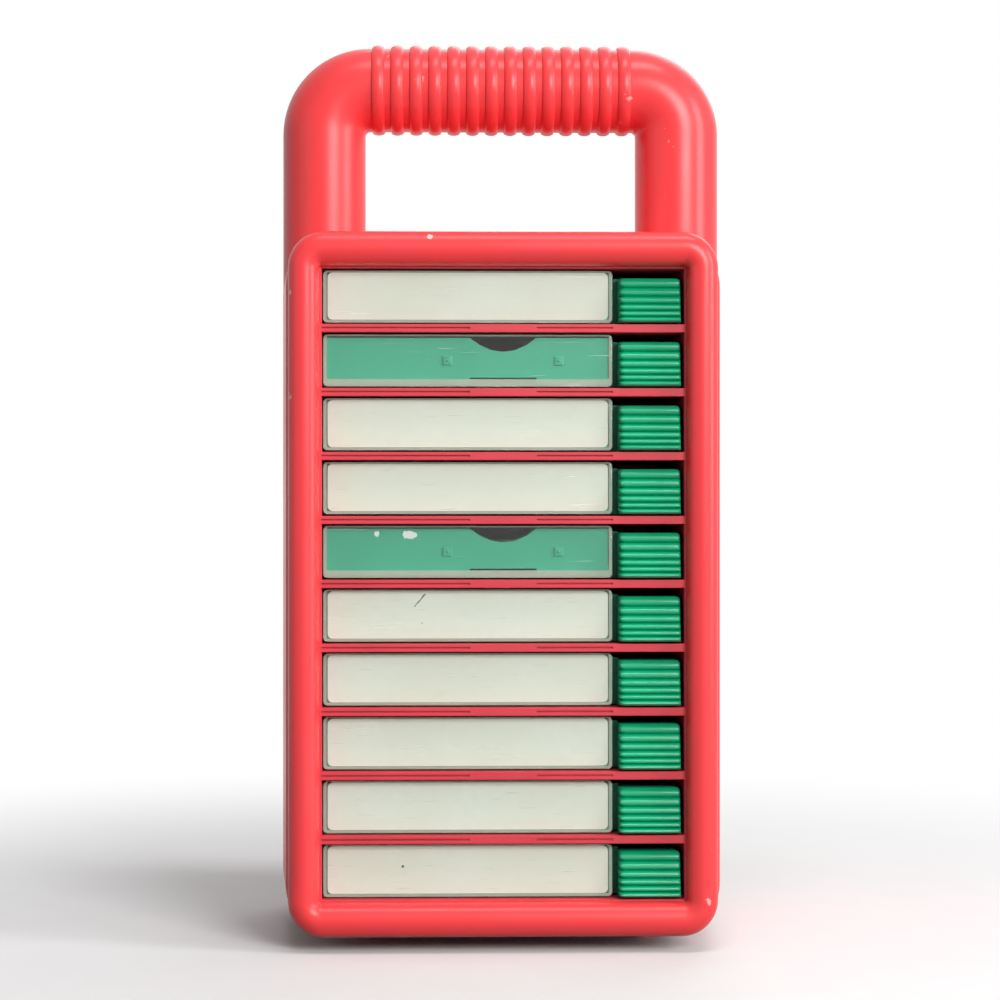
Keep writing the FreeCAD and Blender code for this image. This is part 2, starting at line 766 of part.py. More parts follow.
# ---- One drawer ----------------------------------------------------------------------------------
def drawer_tray(label):
    """The moulded tray with its hollow front, finger notch, stop nib, pivot pin and spring spigot."""
    part = body(label)
    low = bay_floor + gap
    rail = bay_half - gap
    pad(part, "floor_plate", "XY_Plane", low, floor_top, rectangle(-rail, rail, wall_front, tray_end))

    def side_walls(sketch):
        outline(sketch, box_points(-tray_half, tray_half, wall_front, tray_end))
        outline(sketch, box_points(-room_half, room_half, room_front, room_end))
    side_top = floor_top + cell("side_wall_height")
    pad(part, "walls", "XY_Plane", floor_top - cell("bite"), side_top, side_walls)

    front_top = floor_top + cell("front_wall_height")
    tab_right = cap_right + cell("tab_width")
    tab_round = cell("tab_round")
    tab_points = [
        (-rail, low), (tab_right, low), (tab_right, front_top - tab_round),
        (tab_right - tab_round, front_top), (-rail, front_top),
    ]
    pad(part, "front_wall", "XZ_Plane", wall_front, room_front,
        lambda sketch: outline(sketch, tab_points))

    inset = cell("cap_wall") + cell("fit_gap")
    left, right = cap_left + inset, cap_right - inset
    panel_low, panel_high = cap_low + inset, cap_low + cell("cap_height") - inset
    pad(part, "front_box", "XZ_Plane", boss_front, wall_front + cell("bite"),
        rectangle(left, right, panel_low, panel_high))
    thick = cell("front_panel")
    pocket(part, "front_hollow", "XY_Plane", panel_low + thick, panel_high + 1.0,
           rectangle(left + thick, right - thick, boss_front + thick, wall_front))

    boss, offset = cell("boss_size") / 2, cell("boss_offset")
    boss_middle = (panel_low + panel_high) / 2
    for name, x in (("left_boss", -offset), ("right_boss", offset)):
        pad(part, name, "XZ_Plane", boss_front - cell("boss_rise"), boss_front + cell("bite"),
            rectangle(x - boss, x + boss, boss_middle - boss, boss_middle + boss))

    reach, depth = cell("notch_width") / 2, cell("notch_depth")
    dip = [(reach * share, panel_high - depth * (1 - share ** 2)) for share in NOTCH_SHARES]
    notch_points = dip + [(reach, panel_high + depth), (-reach, panel_high + depth)]
    pocket(part, "finger_notch", "XZ_Plane", boss_front - 1.0, room_front + 1.0,
           lambda sketch: outline(sketch, notch_points))
    slot_end = room_front + cell("finger_slot_length")
    slot_points = [(-reach, boss_front - 1.0), (reach, boss_front - 1.0), (reach, slot_end - reach / 2),
                   (reach / 2, slot_end), (-reach / 2, slot_end), (-reach, slot_end - reach / 2)]
    pocket(part, "finger_slot", "XY_Plane", low - 1.0, panel_low + thick + 0.4,
           lambda sketch: outline(sketch, slot_points))

    nib_low = ledge_high + 0.4
    pad(part, "stop_nib", "XZ_Plane", room_end, tray_end,
        rectangle(-rail + 0.1, -tray_half + cell("bite"), nib_low, nib_low + cell("stop_nib")))
    lug = cell("pivot_boss") + 0.6
    lug_foot = side_top - cell("bite")
    lug_points = [(pivot_y - lug * 1.6, lug_foot), (pivot_y + lug * 1.6, lug_foot),
                  (pivot_y + lug * 0.8, pivot_z + lug), (pivot_y - lug * 0.8, pivot_z + lug)]
    pad(part, "pivot_lug", "YZ_Plane", room_half, tray_half, lambda sketch: outline(sketch, lug_points))
    pad(part, "pivot_pin", "YZ_Plane", tray_half - cell("bite"), arm_out + cell("bite"),
        lambda sketch: polygon(sketch, (pivot_y, pivot_z), cell("pivot_radius"), 12))
    pad(part, "spring_spigot", "XZ_Plane", tray_end - cell("bite"), tray_end + cell("spigot_length"),
        cross(0.0, spring_height, cell("spigot_radius"), cell("spigot_rib")))
    pad(part, "spring_seat", "XZ_Plane", room_end, tray_end,
        rectangle(-cell("spring_large") - 1.0, cell("spring_large") + 1.0, side_top - cell("bite"),
                  spring_height + cell("spigot_radius") + 1.8))
    return part


def window_cap(label):
    """The clear cap that slides over the tray's front and holds the card."""
    part = body(label)
    right, high = cap_left + cell("cap_width"), cap_low + cell("cap_height")
    back = wall_front - cell("fit_gap") / 2
    pad(part, "cap_block", "XZ_Plane", cap_front, back,
        clipped(cap_left, right, cap_low, high, cell("cap_round") * CLIP_SHARE))
    side = cell("cap_wall")
    pocket(part, "cap_hollow", "XZ_Plane", cap_front + cell("cap_face"), back,
           rectangle(cap_left + side, right - side, cap_low + side, high - side))
    return part


def label_card(label):
    """A plain paper card behind the clear cap."""
    part = body(label)
    middle_x, middle_z = cap_left + cell("cap_width") / 2, cap_low + cell("cap_height") / 2
    wide = cell("cap_width") / 2 - cell("card_side_margin")
    tall = cell("cap_height") / 2 - cell("card_end_margin")
    face = cap_front + cell("cap_face")
    pad(part, "card", "XZ_Plane", face, face + cell("card_thickness"),
        clipped(middle_x - wide, middle_x + wide, middle_z - tall, middle_z + tall, cell("card_corner")))
    return part


def latch_button(label):
    """The latch lever: a hollow ribbed button, an arm with a pivot eye, a nose and a spring tongue."""
    part = body(label)
    taper = cell("rib_taper")
    shares = [size(1.0)]
    for _ in range(5):
        shares.append(shares[-1] * taper)
    total = shares[0]
    for share in shares[1:]:
        total = total + share
    first_rib = place("first_rib", cell("button_height") / total)
    groove_top = cap_front + cell("button_top_set_back") + cell("rib_rise")
    points = [(button_back, button_low), (button_back, button_high)]
    height, done = button_high, size(0.0)
    rise, lean = cell("rib_rise"), cell("button_lean")
    for index, share in enumerate(shares, start=1):
        rib = first_rib * share
        face = groove_top - lean * done
        points.append((face, height))
        points.append((face - rise - lean * share / total * 0.3, height - rib * 0.3))
        points.append((face - rise - lean * share / total * 0.7, height - rib * 0.7))
        done = place(f"rib_share_{index}", done + share / total)
        height = place(f"rib_low_{index}", height - rib)
    points.append((groove_top - lean, button_low))
    pad(part, "ribbed_block", "YZ_Plane", button_left, button_right,
        lambda sketch: outline(sketch, points))
    high_edge = button_high.value
    bevel_edges(part, "corner", cell("button_round") * CLIP_SHARE, lambda e: (
        in_plane(e, "X", button_right) and in_plane(e, "Z", high_edge)))
    cut_depth = cell("rib_end_cut")
    front = groove_top - cell("button_lean") - cell("rib_rise") * 2
    pocket(part, "rib_ends", "XY_Plane", button_low - 1.0, button_high + 1.0, lambda sketch: outline(
        sketch, [(button_left - 0.5, groove_top - 0.4), (button_left - 0.5, front),
                 (button_left + cut_depth * 2, front)]))
    thick = cell("button_wall")
    pocket(part, "hollow", "XZ_Plane", groove_top + thick, button_back,
           rectangle(button_left + thick, button_right - thick, button_low + thick, button_high - thick))
    nose_back = nose_front + cell("nose_length")
    arm_points = [
        (button_back - 1.4, arm_low), (nose_front, arm_low), (nose_front, arm_low - cell("nose_drop")),
        (nose_back, arm_low - cell("nose_drop")), (nose_back + 1.5, arm_low + 0.3), (pivot_y, arm_low + 0.3),
        (pivot_y, arm_high), (button_back - 1.4, arm_high),
    ]
    pad(part, "arm", "YZ_Plane", arm_in, arm_out, lambda sketch: outline(sketch, arm_points))
    pad(part, "pivot_eye", "YZ_Plane", arm_in, arm_out,
        lambda sketch: polygon(sketch, (pivot_y, pivot_z), cell("pivot_boss"), 12))
    pivot_hole = (cell("pivot_radius") + cell("pivot_gap")) / math.cos(math.pi / 12)
    tongue_low = pivot_z + cell("pivot_boss") / 3
    tongue_high = tongue_low + cell("tongue_thickness")
    pad(part, "spring_tongue", "YZ_Plane", arm_in, arm_out,
        rectangle(pivot_y, pivot_y + cell("tongue_length"), tongue_low, tongue_high))
    pocket(part, "pivot_hole", "YZ_Plane", arm_in - 1.0, arm_out + 1.0,
           lambda sketch: polygon(sketch, (pivot_y, pivot_z), pivot_hole, 12))
    return part


def eject_spring(label):
    """The space of a cone-wound spring held short between the tray and the rack."""
    part = body(label)
    middle, band = (cell("spring_small") + cell("spring_large")) / 2, cell("spring_band")

    def ring(sketch):
        polygon(sketch, (0.0, spring_height), middle, 12)
        polygon(sketch, (0.0, spring_height), middle - band, 12)
    pad(part, "coil", "XZ_Plane", tray_end, rack_back_face, ring)
    return part


# ---- Every piece ---------------------------------------------------------------------------------
BARE_ROWS = (2, 5)
pieces = shells() + [case_screws(), drawer_rack("drawer_rack")]
for make, name, skip in (
    (drawer_tray, "drawer_tray", ()),
    (window_cap, "window_cap", ()),
    (label_card, "label_card", BARE_ROWS),
    (latch_button, "latch_button", ()),
    (eject_spring, "eject_spring", ()),
):
    pieces += by_row(make, name, skip)

doc.recompute()
for item in doc.Objects:
    if "Invalid" in item.State or "Error" in item.State:
        raise RuntimeError(f"{item.Label} failed: {item.State}")
for piece in pieces:
    if piece.Shape.isNull() or not piece.Shape.isValid() or not piece.Shape.Solids:
        raise RuntimeError(f"{piece.Label} has no sound shape")

os.makedirs("parts", exist_ok=True)
for piece in pieces:
    piece.Shape.exportStep(os.path.join("parts", f"{piece.Label}.step"))
    print(f"{piece.Label}: {len(piece.Shape.Solids)} solid, {piece.Shape.Volume / 1000:.2f} cm3")
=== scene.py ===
"""Looks of the cassette carrying case: moulded red shells, a ringed handle, clear caps and ribbed levers.

Lengths are written in millimetres and turned to metres where a mesh is made. Rows are counted from the top.
"""
import math

import bmesh
import bpy
import numpy as np
from mathutils import Matrix, Vector


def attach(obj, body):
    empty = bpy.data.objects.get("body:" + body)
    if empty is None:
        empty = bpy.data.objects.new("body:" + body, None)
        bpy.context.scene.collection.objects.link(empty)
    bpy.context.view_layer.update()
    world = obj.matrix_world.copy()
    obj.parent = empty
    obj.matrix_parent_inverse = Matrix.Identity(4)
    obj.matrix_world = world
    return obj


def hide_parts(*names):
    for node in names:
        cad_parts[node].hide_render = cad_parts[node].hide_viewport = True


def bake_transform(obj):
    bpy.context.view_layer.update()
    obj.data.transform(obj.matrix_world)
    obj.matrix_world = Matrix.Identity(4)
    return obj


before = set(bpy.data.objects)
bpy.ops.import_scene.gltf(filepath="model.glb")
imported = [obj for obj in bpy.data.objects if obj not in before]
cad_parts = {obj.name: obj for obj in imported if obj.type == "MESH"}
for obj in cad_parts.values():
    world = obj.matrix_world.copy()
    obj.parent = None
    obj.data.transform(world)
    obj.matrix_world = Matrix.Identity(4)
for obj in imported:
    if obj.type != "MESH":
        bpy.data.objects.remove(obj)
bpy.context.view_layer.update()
MM = 0.001
TINY = 0.01            # the smallest radius that still makes a face
SEAT_GAP = 0.02        # keeps two faces that would lie in one plane apart

# ---- The case's own sizes ------------------------------------------------------------------------
# The rows of drawers. The bare ones have a cap without a card.
ROWS, ROW_PITCH, BAY_FLOOR = 10, 19.2, 188.3
BARE_ROWS = (2, 5)
# The slab, which narrows to its front and back from the parting plane.
FRONT, BACK, PARTING, WALL = -42.9, 48.4, -3.4, 2.4
HALF, FRONT_HALF, BACK_HALF = 68.8, 65.2, 66.8
SLAB_LOW, SLAB_HIGH = 4.0, 215.8
SLAB_CORNER, FRONT_EDGE, BACK_EDGE = 16.0, 2.0, 9.0
SEAM_HALF, SEAM_DEPTH = 0.3, 0.35
# The rolled frame: the opening, the half-round section, the heel behind its outer side and the mouth.
OPENING_HALF, OPENING_LOW, OPENING_HIGH, OPENING_CORNER = 55.1, 14.9, 205.7, 0.8
ROLL_SIDE, ROLL_END, ROLL_CORNER = 9.4, 10.3, 11.0
CREST, ROLL_DEPTH, ROLL_FULLNESS = -48.4, 4.8, 0.94
ROLL_HEEL = ((-6.9, -36.5), (-0.7, -39.3), (-0.1, -40.0), (0.0, -42.0))
MOUTH_STEP, MOUTH_BACK = 1.4, -35.5
# How deep and how far round the opening the slab's own front is left out behind the frame.
HIDDEN_DEPTH, HIDDEN_SIDE, HIDDEN_END = 1.5, 4.6, 5.0
# The handle, which reaches down inside the slab, its rings and the domed feet.
HANDLE_RADIUS, HANDLE_BEND = 13.0, 14.4
HANDLE_HALF, HANDLE_FOOT, GRIP = 55.7, 190.0, 265.1
HANDLE_FILLET, FOOT_FILLET = 3.0, 2.5
RING_COUNT, RING_PITCH, RING_WIDTH, RING_RISE = 14, 5.93, 4.1, 1.05
FOOT_SPREAD, FOOT_INSET, FOOT_RADIUS, FOOT_HEIGHT, FOOT_FACE = 41.0, 19.9, 6.9, 4.0, 0.04
# The screws and their wells in the back.
SCREW_SEAT, WELL_RADIUS, WELL_OVERRUN = 1.6, 3.2, 6.0
SCREW_SPOTS = [(x * side, z) for x, z in ((62.2, 26.0), (62.2, 194.6), (55.7, 238.7)) for side in (-1, 1)]
SCREW_PROFILE = ((0.0, -10.4), (0.5, -10.2), (1.45, -8.6), (1.45, 1.6), (2.8, 1.62), (2.8, 2.7), (2.6, 3.2),
                 (2.2, 3.5), (1.9, 3.6))
SCREW_TOP, RECESS_FLOOR, RECESS_TAPER = 3.6, 2.7, 0.7
RECESS_REACH, RECESS_HALF, RECESS_ROOT = 1.5, 0.3, 0.55
# The caps and cards, and the bosses on the bare trays, each with a moulding dot.
CAP_LEFT, CAP_WIDTH, CAP_LIFT, CAP_HEIGHT = -54.1, 87.0, 0.6, 15.6
CAP_FRONT, CAP_BACK, CAP_FACE, CAP_WALL, CAP_CORNER, CAP_ROUND = -40.9, -32.95, 1.2, 1.0, 1.3, 0.5
CAP_TOP_WALL, CAP_FOOT, CAP_BARE_FOOT, CAP_INNER_CORNER = 0.5, 0.85, 2.2, 0.5
BOSS_FRONT, BOSS_SIDE, BOSS_HALF, BOSS_RISE, BOSS_ROUND, BOSS_CORNER = -38.9, 16.8, 1.45, 0.46, 0.5, 0.25
DOT_HALF, DOT_RISE = 0.42, 0.3
CARD_WIDTH, CARD_HEIGHT, CARD_THICKNESS, CARD_CORNER, CARD_GAP = 84.4, 14.15, 0.3, 1.5, 0.05
CARD_FACE = CAP_FRONT + CAP_FACE + SEAT_GAP
# The levers: button and ribs, arm and nose, pivot eye and tongue.
BUTTON_LEFT, BUTTON_RIGHT, BUTTON_LIFT, BUTTON_HEIGHT = 34.7, 53.4, 0.6, 13.5
BUTTON_BACK, BUTTON_WALL, BUTTON_ROUND, BUTTON_LIP = -34.1, 1.5, 1.1, 0.6
GROOVE_TOP, BUTTON_LEAN, RIB_RISE, RIB_TAPER, RIBS = -39.8, 3.3, 1.5, 0.89, 6
RIB_SHARES = [RIB_TAPER ** i for i in range(RIBS)]
RIB_FULLNESS, RIB_END, RIB_RIGHT, NOSE_ROUND = 0.75, 1.7, 0.4, 0.9
LEFT_FALL, LEFT_SWEEP = 2.4, 1.5
ARM_IN, ARM_OUT, ARM_HEIGHT, ARM_TUCK, ARM_RELIEF = 52.3, 53.9, 6.8, 1.4, 0.3
PIVOT_Y, PIVOT_RISE, PIVOT_HOLE, PIVOT_BOSS = -10.0, 8.6, 1.55, 3.4
NOSE_FRONT, NOSE_LENGTH, NOSE_DROP, NOSE_RAMP = -25.5, 2.0, 0.95, 1.5
TONGUE_START, TONGUE_END, TONGUE_THICKNESS = 2.6, 17.0, 0.9
# The eject springs at rest.
SPRING_FRONT, SPRING_BACK, SPRING_RISE = 34.5, 42.5, 8.4
SPRING_TURNS, SPRING_SMALL, SPRING_LARGE, SPRING_WIRE = 8.0, 4.6, 6.4, 0.4
# Wear, each as a place and a radius: pale flecks on a cap, dark marks on two cards, chips in the frame.
FLECKS = ((-27.9, CAP_FRONT, 125.0, 1.25), (-29.3, CAP_FRONT, 125.1, 1.0), (-26.8, CAP_FRONT, 125.1, 0.9),
          (-38.0, CAP_FRONT, 125.2, 0.75))
DIRT = tuple((-26.5 + 0.36 * i, CARD_FACE, 103.6 + 0.42 * i, 0.25) for i in range(9)) + (
    (-30.2, CARD_FACE, 25.2, 0.4), (-24.4, CARD_FACE, 98.4, 0.2))
CHIPS = ((-22.0, -47.4, 214.0, 0.9), (-63.6, -46.3, 197.4, 0.6), (-62.6, -45.8, 188.0, 0.5),
         (61.8, -47.0, 180.0, 0.5), (-59.5, -46.4, 9.0, 0.7), (-55.0, -46.0, 7.2, 0.6),
         (60.5, -45.5, 9.5, 0.6))

# ---- Net, floor, lamps and camera ----------------------------------------------------------------
NET_STEP, QUICK_STEP, NET_MARGIN, NET_PASSES = 1.35, 2.6, 2, 6
FLOOR_HALF, FADE_START, FADE_END = 3000, 120, 450
ROOM_LIGHT = 0.14
# Lamps and camera stand in metres: a name, a place, a width and height, and a power in watts.
LAMPS = (("key_lamp", (0.55, -1.15, 0.6), (0.5, 0.5), 13.0),
         ("side_lamp", (1.2, -0.5, 0.5), (0.3, 0.9), 9.0),
         ("top_lamp", (0.15, -0.45, 1.4), (0.8, 0.25), 6.0),
         ("fill_lamp", (-1.0, -0.9, 0.3), (0.8, 0.8), 1.2),
         ("back_lamp", (0.3, 0.9, 0.9), (0.8, 0.8), 3.5))
LAMP_TARGET = (0.0, -0.02, 0.13)
CAMERA_PLACE, CAMERA_TARGET, LENS = (-0.016, -0.743, 0.1355), (-0.001, -0.0429, 0.1355), 84.0


def floor_of(row):
    """Height of a row's bay floor."""
    return BAY_FLOOR - (row - 1) * ROW_PITCH


# ---- Materials -----------------------------------------------------------------------------------
def linear(colour):
    """An sRGB hex value as linear red, green, blue and alpha."""
    parts = [int(colour[i:i + 2], 16) / 255 for i in (0, 2, 4)]
    return [p / 12.92 if p <= 0.04045 else ((p + 0.055) / 1.055) ** 2.4 for p in parts] + [1.0]


def add(tree, kind, inputs=(), **settings):
    """Adds a node; inputs maps its sockets to plain values or to other nodes' outputs."""
    made = tree.nodes.new(kind)
    for name, value in settings.items():
        setattr(made, name, value)
    for key, value in dict(inputs).items():
        if isinstance(value, bpy.types.NodeSocket):
            tree.links.new(value, made.inputs[key])
        else:
            made.inputs[key].default_value = value
    return made


def material(name):
    """A new material's tree with its surface shader and the place of each point in metres."""
    made = bpy.data.materials.new(name)
    made.use_nodes = True
    tree = made.node_tree
    tree.nodes.clear()
    shader = add(tree, "ShaderNodeBsdfPrincipled")
    add(tree, "ShaderNodeOutputMaterial", {"Surface": shader.outputs[0]})
    here = add(tree, "ShaderNodeTexCoord").outputs["Object"]
    return made, tree, shader, here


def spots(tree, here, places, ragged=1.3):
    """A mask of small ragged marks, each at its place and radius in millimetres."""
    wave = add(tree, "ShaderNodeTexNoise", {"Vector": here, "Scale": 1 / (0.9 * MM), "Detail": 2.0})
    wide = add(tree, "ShaderNodeMath", {0: wave.outputs[0], 1: ragged * MM}, operation="MULTIPLY")
    total = 0.0
    for x, y, z, size in places:
        away = add(tree, "ShaderNodeVectorMath", {0: here, 1: (x * MM, y * MM, z * MM)}, operation="DISTANCE")
        edge = add(tree, "ShaderNodeMath", {0: away.outputs["Value"], 1: wide.outputs[0]}, operation="ADD")
        mark = add(tree, "ShaderNodeMath", {0: edge.outputs[0], 1: (size + ragged / 2) * MM},
                   operation="LESS_THAN")
        total = add(tree, "ShaderNodeMath", {0: mark.outputs[0], 1: total}, operation="MAXIMUM").outputs[0]
    return total


def moulded(name, colour, dusty, roughness, grain, depth, edge=0.0, shine=0.42):
    """Moulded plastic: a clean colour, a dustier one in slow patches, and the mould's fine grain.

    The grain's width and depth and the worn edge's radius are in millimetres.
    """
    made, tree, shader, here = material(name)
    patches = add(tree, "ShaderNodeTexNoise", {"Vector": here, "Scale": 1 / (30 * MM), "Detail": 4.0})
    share = add(tree, "ShaderNodeMapRange", {0: patches.outputs[0], 1: 0.45, 2: 0.75, 3: 0.0, 4: 1.0})
    mixed = add(tree, "ShaderNodeMix", {0: share.outputs[0], 6: linear(colour), 7: linear(dusty)},
                data_type="RGBA")
    tree.links.new(mixed.outputs[2], shader.inputs["Base Color"])
    gloss = add(tree, "ShaderNodeMapRange", {0: patches.outputs[0], 1: 0.3, 2: 0.7, 3: roughness - 0.03,
                                             4: roughness + 0.06})
    tree.links.new(gloss.outputs[0], shader.inputs["Roughness"])
    fine = add(tree, "ShaderNodeTexNoise", {"Vector": here, "Scale": 1 / (grain * MM), "Detail": 3.0})
    bump = add(tree, "ShaderNodeBump", {"Height": fine.outputs[0], "Strength": 1.0, "Distance": depth * MM})
    if edge:
        soft = add(tree, "ShaderNodeBevel", {"Radius": edge * MM}, samples=4)
        tree.links.new(soft.outputs[0], bump.inputs["Normal"])
    tree.links.new(bump.outputs[0], shader.inputs["Normal"])
    shader.inputs["IOR"].default_value = 1.49
    shader.inputs["Specular IOR Level"].default_value = shine
    return made, tree, shader, here


def scuffed_red():
    """Polypropylene, moulded glossy: a soft even sheen, with pale rubbed specks where it has been knocked."""
    made, tree, shader, here = moulded("polypropylene_moulded_red", "F63E42", "EE4145", 0.33, 1.6, 0.004)
    rubs = add(tree, "ShaderNodeTexNoise", {"Vector": here, "Scale": 1 / (5 * MM), "Detail": 5.0,
                                            "Roughness": 0.62})
    area = add(tree, "ShaderNodeTexNoise", {"Vector": here, "Scale": 1 / (45 * MM), "Detail": 1.0})
    product = add(tree, "ShaderNodeMath", {0: rubs.outputs[0], 1: area.outputs[0]}, operation="MULTIPLY")
    speck = add(tree, "ShaderNodeMapRange", {0: product.outputs[0], 1: 0.465, 2: 0.49, 3: 0.0, 4: 0.7})
    chips = spots(tree, here, CHIPS)
    total = add(tree, "ShaderNodeMath", {0: speck.outputs[0], 1: chips}, operation="MAXIMUM").outputs[0]
    base = shader.inputs["Base Color"].links[0].from_socket
    worn = add(tree, "ShaderNodeMix", {0: total, 6: base, 7: linear("F3BDB8")}, data_type="RGBA")
    tree.links.new(worn.outputs[2], shader.inputs["Base Color"])
    return made


def clear_plastic():
    """Polystyrene, moulded clear: bright hard highlights, faint hairline scratches from handling."""
    made, tree, shader, here = material("polystyrene_moulded_clear")
    shader.inputs["Base Color"].default_value = linear("FCFDFB")
    shader.inputs["Transmission Weight"].default_value = 1.0
    shader.inputs["IOR"].default_value = 1.4
    stretch = add(tree, "ShaderNodeMapping", {"Vector": here, "Rotation": (0.0, 0.5, 0.0),
                                              "Scale": (60.0, 60.0, 1400.0)})
    hair = add(tree, "ShaderNodeTexNoise", {"Vector": stretch.outputs[0], "Scale": 1.0, "Detail": 2.0})
    line = add(tree, "ShaderNodeMapRange", {0: hair.outputs[0], 1: 0.66, 2: 0.72, 3: 0.03, 4: 0.25})
    tree.links.new(line.outputs[0], shader.inputs["Roughness"])
    through = add(tree, "ShaderNodeBsdfTransparent", {"Color": linear("FEFFFD")})
    rays = add(tree, "ShaderNodeLightPath").outputs
    fleck = add(tree, "ShaderNodeBsdfDiffuse", {"Color": linear("DDE5E0")})
    worn = add(tree, "ShaderNodeMapRange", {0: hair.outputs[0], 1: 0.68, 2: 0.74, 3: 0.0, 4: 0.12})
    marks = add(tree, "ShaderNodeMath", {0: spots(tree, here, FLECKS), 1: worn.outputs[0]},
                operation="MAXIMUM")
    spotted = add(tree, "ShaderNodeMixShader", {0: marks.outputs[0], 1: shader.outputs[0],
                                                2: fleck.outputs[0]})
    # Light crosses the cap unbent on its way to and from the card, which would else be lit twice.
    bare = add(tree, "ShaderNodeMath", {0: rays["Is Shadow Ray"], 1: rays["Is Diffuse Ray"]},
               operation="MAXIMUM")
    both = add(tree, "ShaderNodeMixShader", {0: bare.outputs[0], 1: spotted.outputs[0],
                                             2: through.outputs[0]})
    tree.links.new(both.outputs[0], tree.nodes["Material Output"].inputs["Surface"])
    return made


def clear_edge():
    """The clear moulding's cut edges, painted pale for the light that runs along the plastic and gathers
    there.
    """
    made, tree, shader, here = material("polystyrene_moulded_clear_edge")
    cloud = add(tree, "ShaderNodeTexNoise", {"Vector": here, "Scale": 1 / (6 * MM), "Detail": 3.0})
    tint = add(tree, "ShaderNodeMix", {0: cloud.outputs[0], 6: linear("D6E6D6"), 7: linear("C6D8C4")},
               data_type="RGBA")
    tree.links.new(tint.outputs[2], shader.inputs["Base Color"])
    shader.inputs["Transmission Weight"].default_value = 0.5
    shader.inputs["Roughness"].default_value = 0.22
    shader.inputs["IOR"].default_value = 1.3
    return made


def paper():
    """Card stock, uncoated and aged: matt, faintly mottled, slightly browner in slow patches."""
    made, tree, shader, here = material("card_stock_uncoated")
    fibre = add(tree, "ShaderNodeTexNoise", {"Vector": here, "Scale": 1 / (2.5 * MM), "Detail": 5.0})
    age = add(tree, "ShaderNodeTexNoise", {"Vector": here, "Scale": 1 / (38 * MM), "Detail": 2.0})
    stock = add(tree, "ShaderNodeMix", {0: fibre.outputs[0], 6: linear("DFE6DB"), 7: linear("D5DCD1")},
                data_type="RGBA")
    share = add(tree, "ShaderNodeMapRange", {0: age.outputs[0], 1: 0.4, 2: 0.7, 3: 0.0, 4: 0.5})
    aged = add(tree, "ShaderNodeMix", {0: share.outputs[0], 6: stock.outputs[2], 7: linear("D4D5C4")},
               data_type="RGBA")
    marked = add(tree, "ShaderNodeMix", {0: spots(tree, here, DIRT, 0.5), 6: aged.outputs[2],
                                         7: linear("4A4A40")}, data_type="RGBA")
    tree.links.new(marked.outputs[2], shader.inputs["Base Color"])
    shader.inputs["Roughness"].default_value = 0.8
    return made


def steel(name, colour, roughness):
    """Zinc-plated or spring steel: drawn wire or a headed screw, with a fine uneven sheen."""
    made, tree, shader, here = material(name)
    drawn = add(tree, "ShaderNodeTexNoise", {"Vector": here, "Scale": 1 / (1.2 * MM), "Detail": 3.0})
    gloss = add(tree, "ShaderNodeMapRange", {0: drawn.outputs[0], 3: roughness - 0.08, 4: roughness + 0.12})
    tree.links.new(gloss.outputs[0], shader.inputs["Roughness"])
    shader.inputs["Base Color"].default_value = linear(colour)
    shader.inputs["Metallic"].default_value = 1.0
    return made


RED = scuffed_red()
RACK_RED = moulded("polypropylene_moulded_raspberry", "D83F4A", "C93943", 0.40, 1.2, 0.004, 0.35)[0]
TRAY_GREEN = moulded("polystyrene_moulded_green", "2D9F7E", "299676", 0.38, 1.5, 0.003, 0.2)[0]
LEVER_GREEN = moulded("abs_moulded_bright_green", "05AE79", "05A572", 0.16, 1.0, 0.001,
                      shine=0.65)[0]
CLEAR = clear_plastic()
CLEAR_EDGE = clear_edge()
CARD = paper()
SPRING_STEEL = steel("spring_steel_drawn", "B8B8B4", 0.3)
SCREW_STEEL = steel("zinc_plated_steel_headed", "C9C6BC", 0.34)


# ---- Mesh helpers --------------------------------------------------------------------------------
def placed(name, data):
    """A new object in the scene."""
    made = bpy.data.objects.new(name, data)
    bpy.context.scene.collection.objects.link(made)
    return made


def mesh_of(name, points, faces):
    """A mesh from points in millimetres."""
    mesh = bpy.data.meshes.new(name)
    mesh.from_pydata((np.asarray(points, float) * MM).tolist(), [], [list(f) for f in faces])
    return mesh


def piece(name, points, faces, skin):
    """A smooth piece in one material, from points in millimetres."""
    mesh = mesh_of(name, points, faces)
    mesh.materials.append(skin)
    mesh.shade_smooth()
    return placed(name, mesh)


def sharpen(made, degrees=35.0, clean=0.0):
    """Marks the edges that turn by more than an angle as sharp, after merging doubles if asked."""
    form = bmesh.new()
    form.from_mesh(made.data)
    if clean:
        bmesh.ops.remove_doubles(form, verts=form.verts, dist=clean * MM)
        bmesh.ops.dissolve_degenerate(form, edges=form.edges, dist=clean * MM)
        bmesh.ops.recalc_face_normals(form, faces=form.faces)
    for face in form.faces:
        face.smooth = True
    for edge in form.edges:
        edge.smooth = len(edge.link_faces) != 2 or edge.calc_face_angle(0.0) < math.radians(degrees)
    form.to_mesh(made.data)
    form.free()
    return made


def loft(rings, close_first=False, close_last=False):
    """Points and faces through rings of equal count; the first and last may be closed by a face."""
    count = len(rings[0])
    points = [p for ring in rings for p in ring]
    faces = []
    for row in range(len(rings) - 1):
        for i in range(count):
            j = (i + 1) % count
            faces.append((row * count + i, row * count + j, (row + 1) * count + j, (row + 1) * count + i))
    if close_first:
        faces.append(tuple(range(count))[::-1])
    if close_last:
        faces.append(tuple(range(len(points) - count, len(points))))
    return points, faces


def joined(parts):
    """Several points-and-faces pairs as one."""
    points, faces = [], []
    for more, sides in parts:
        faces += [tuple(i + len(points) for i in side) for side in sides]
        points += list(more)
    return points, faces


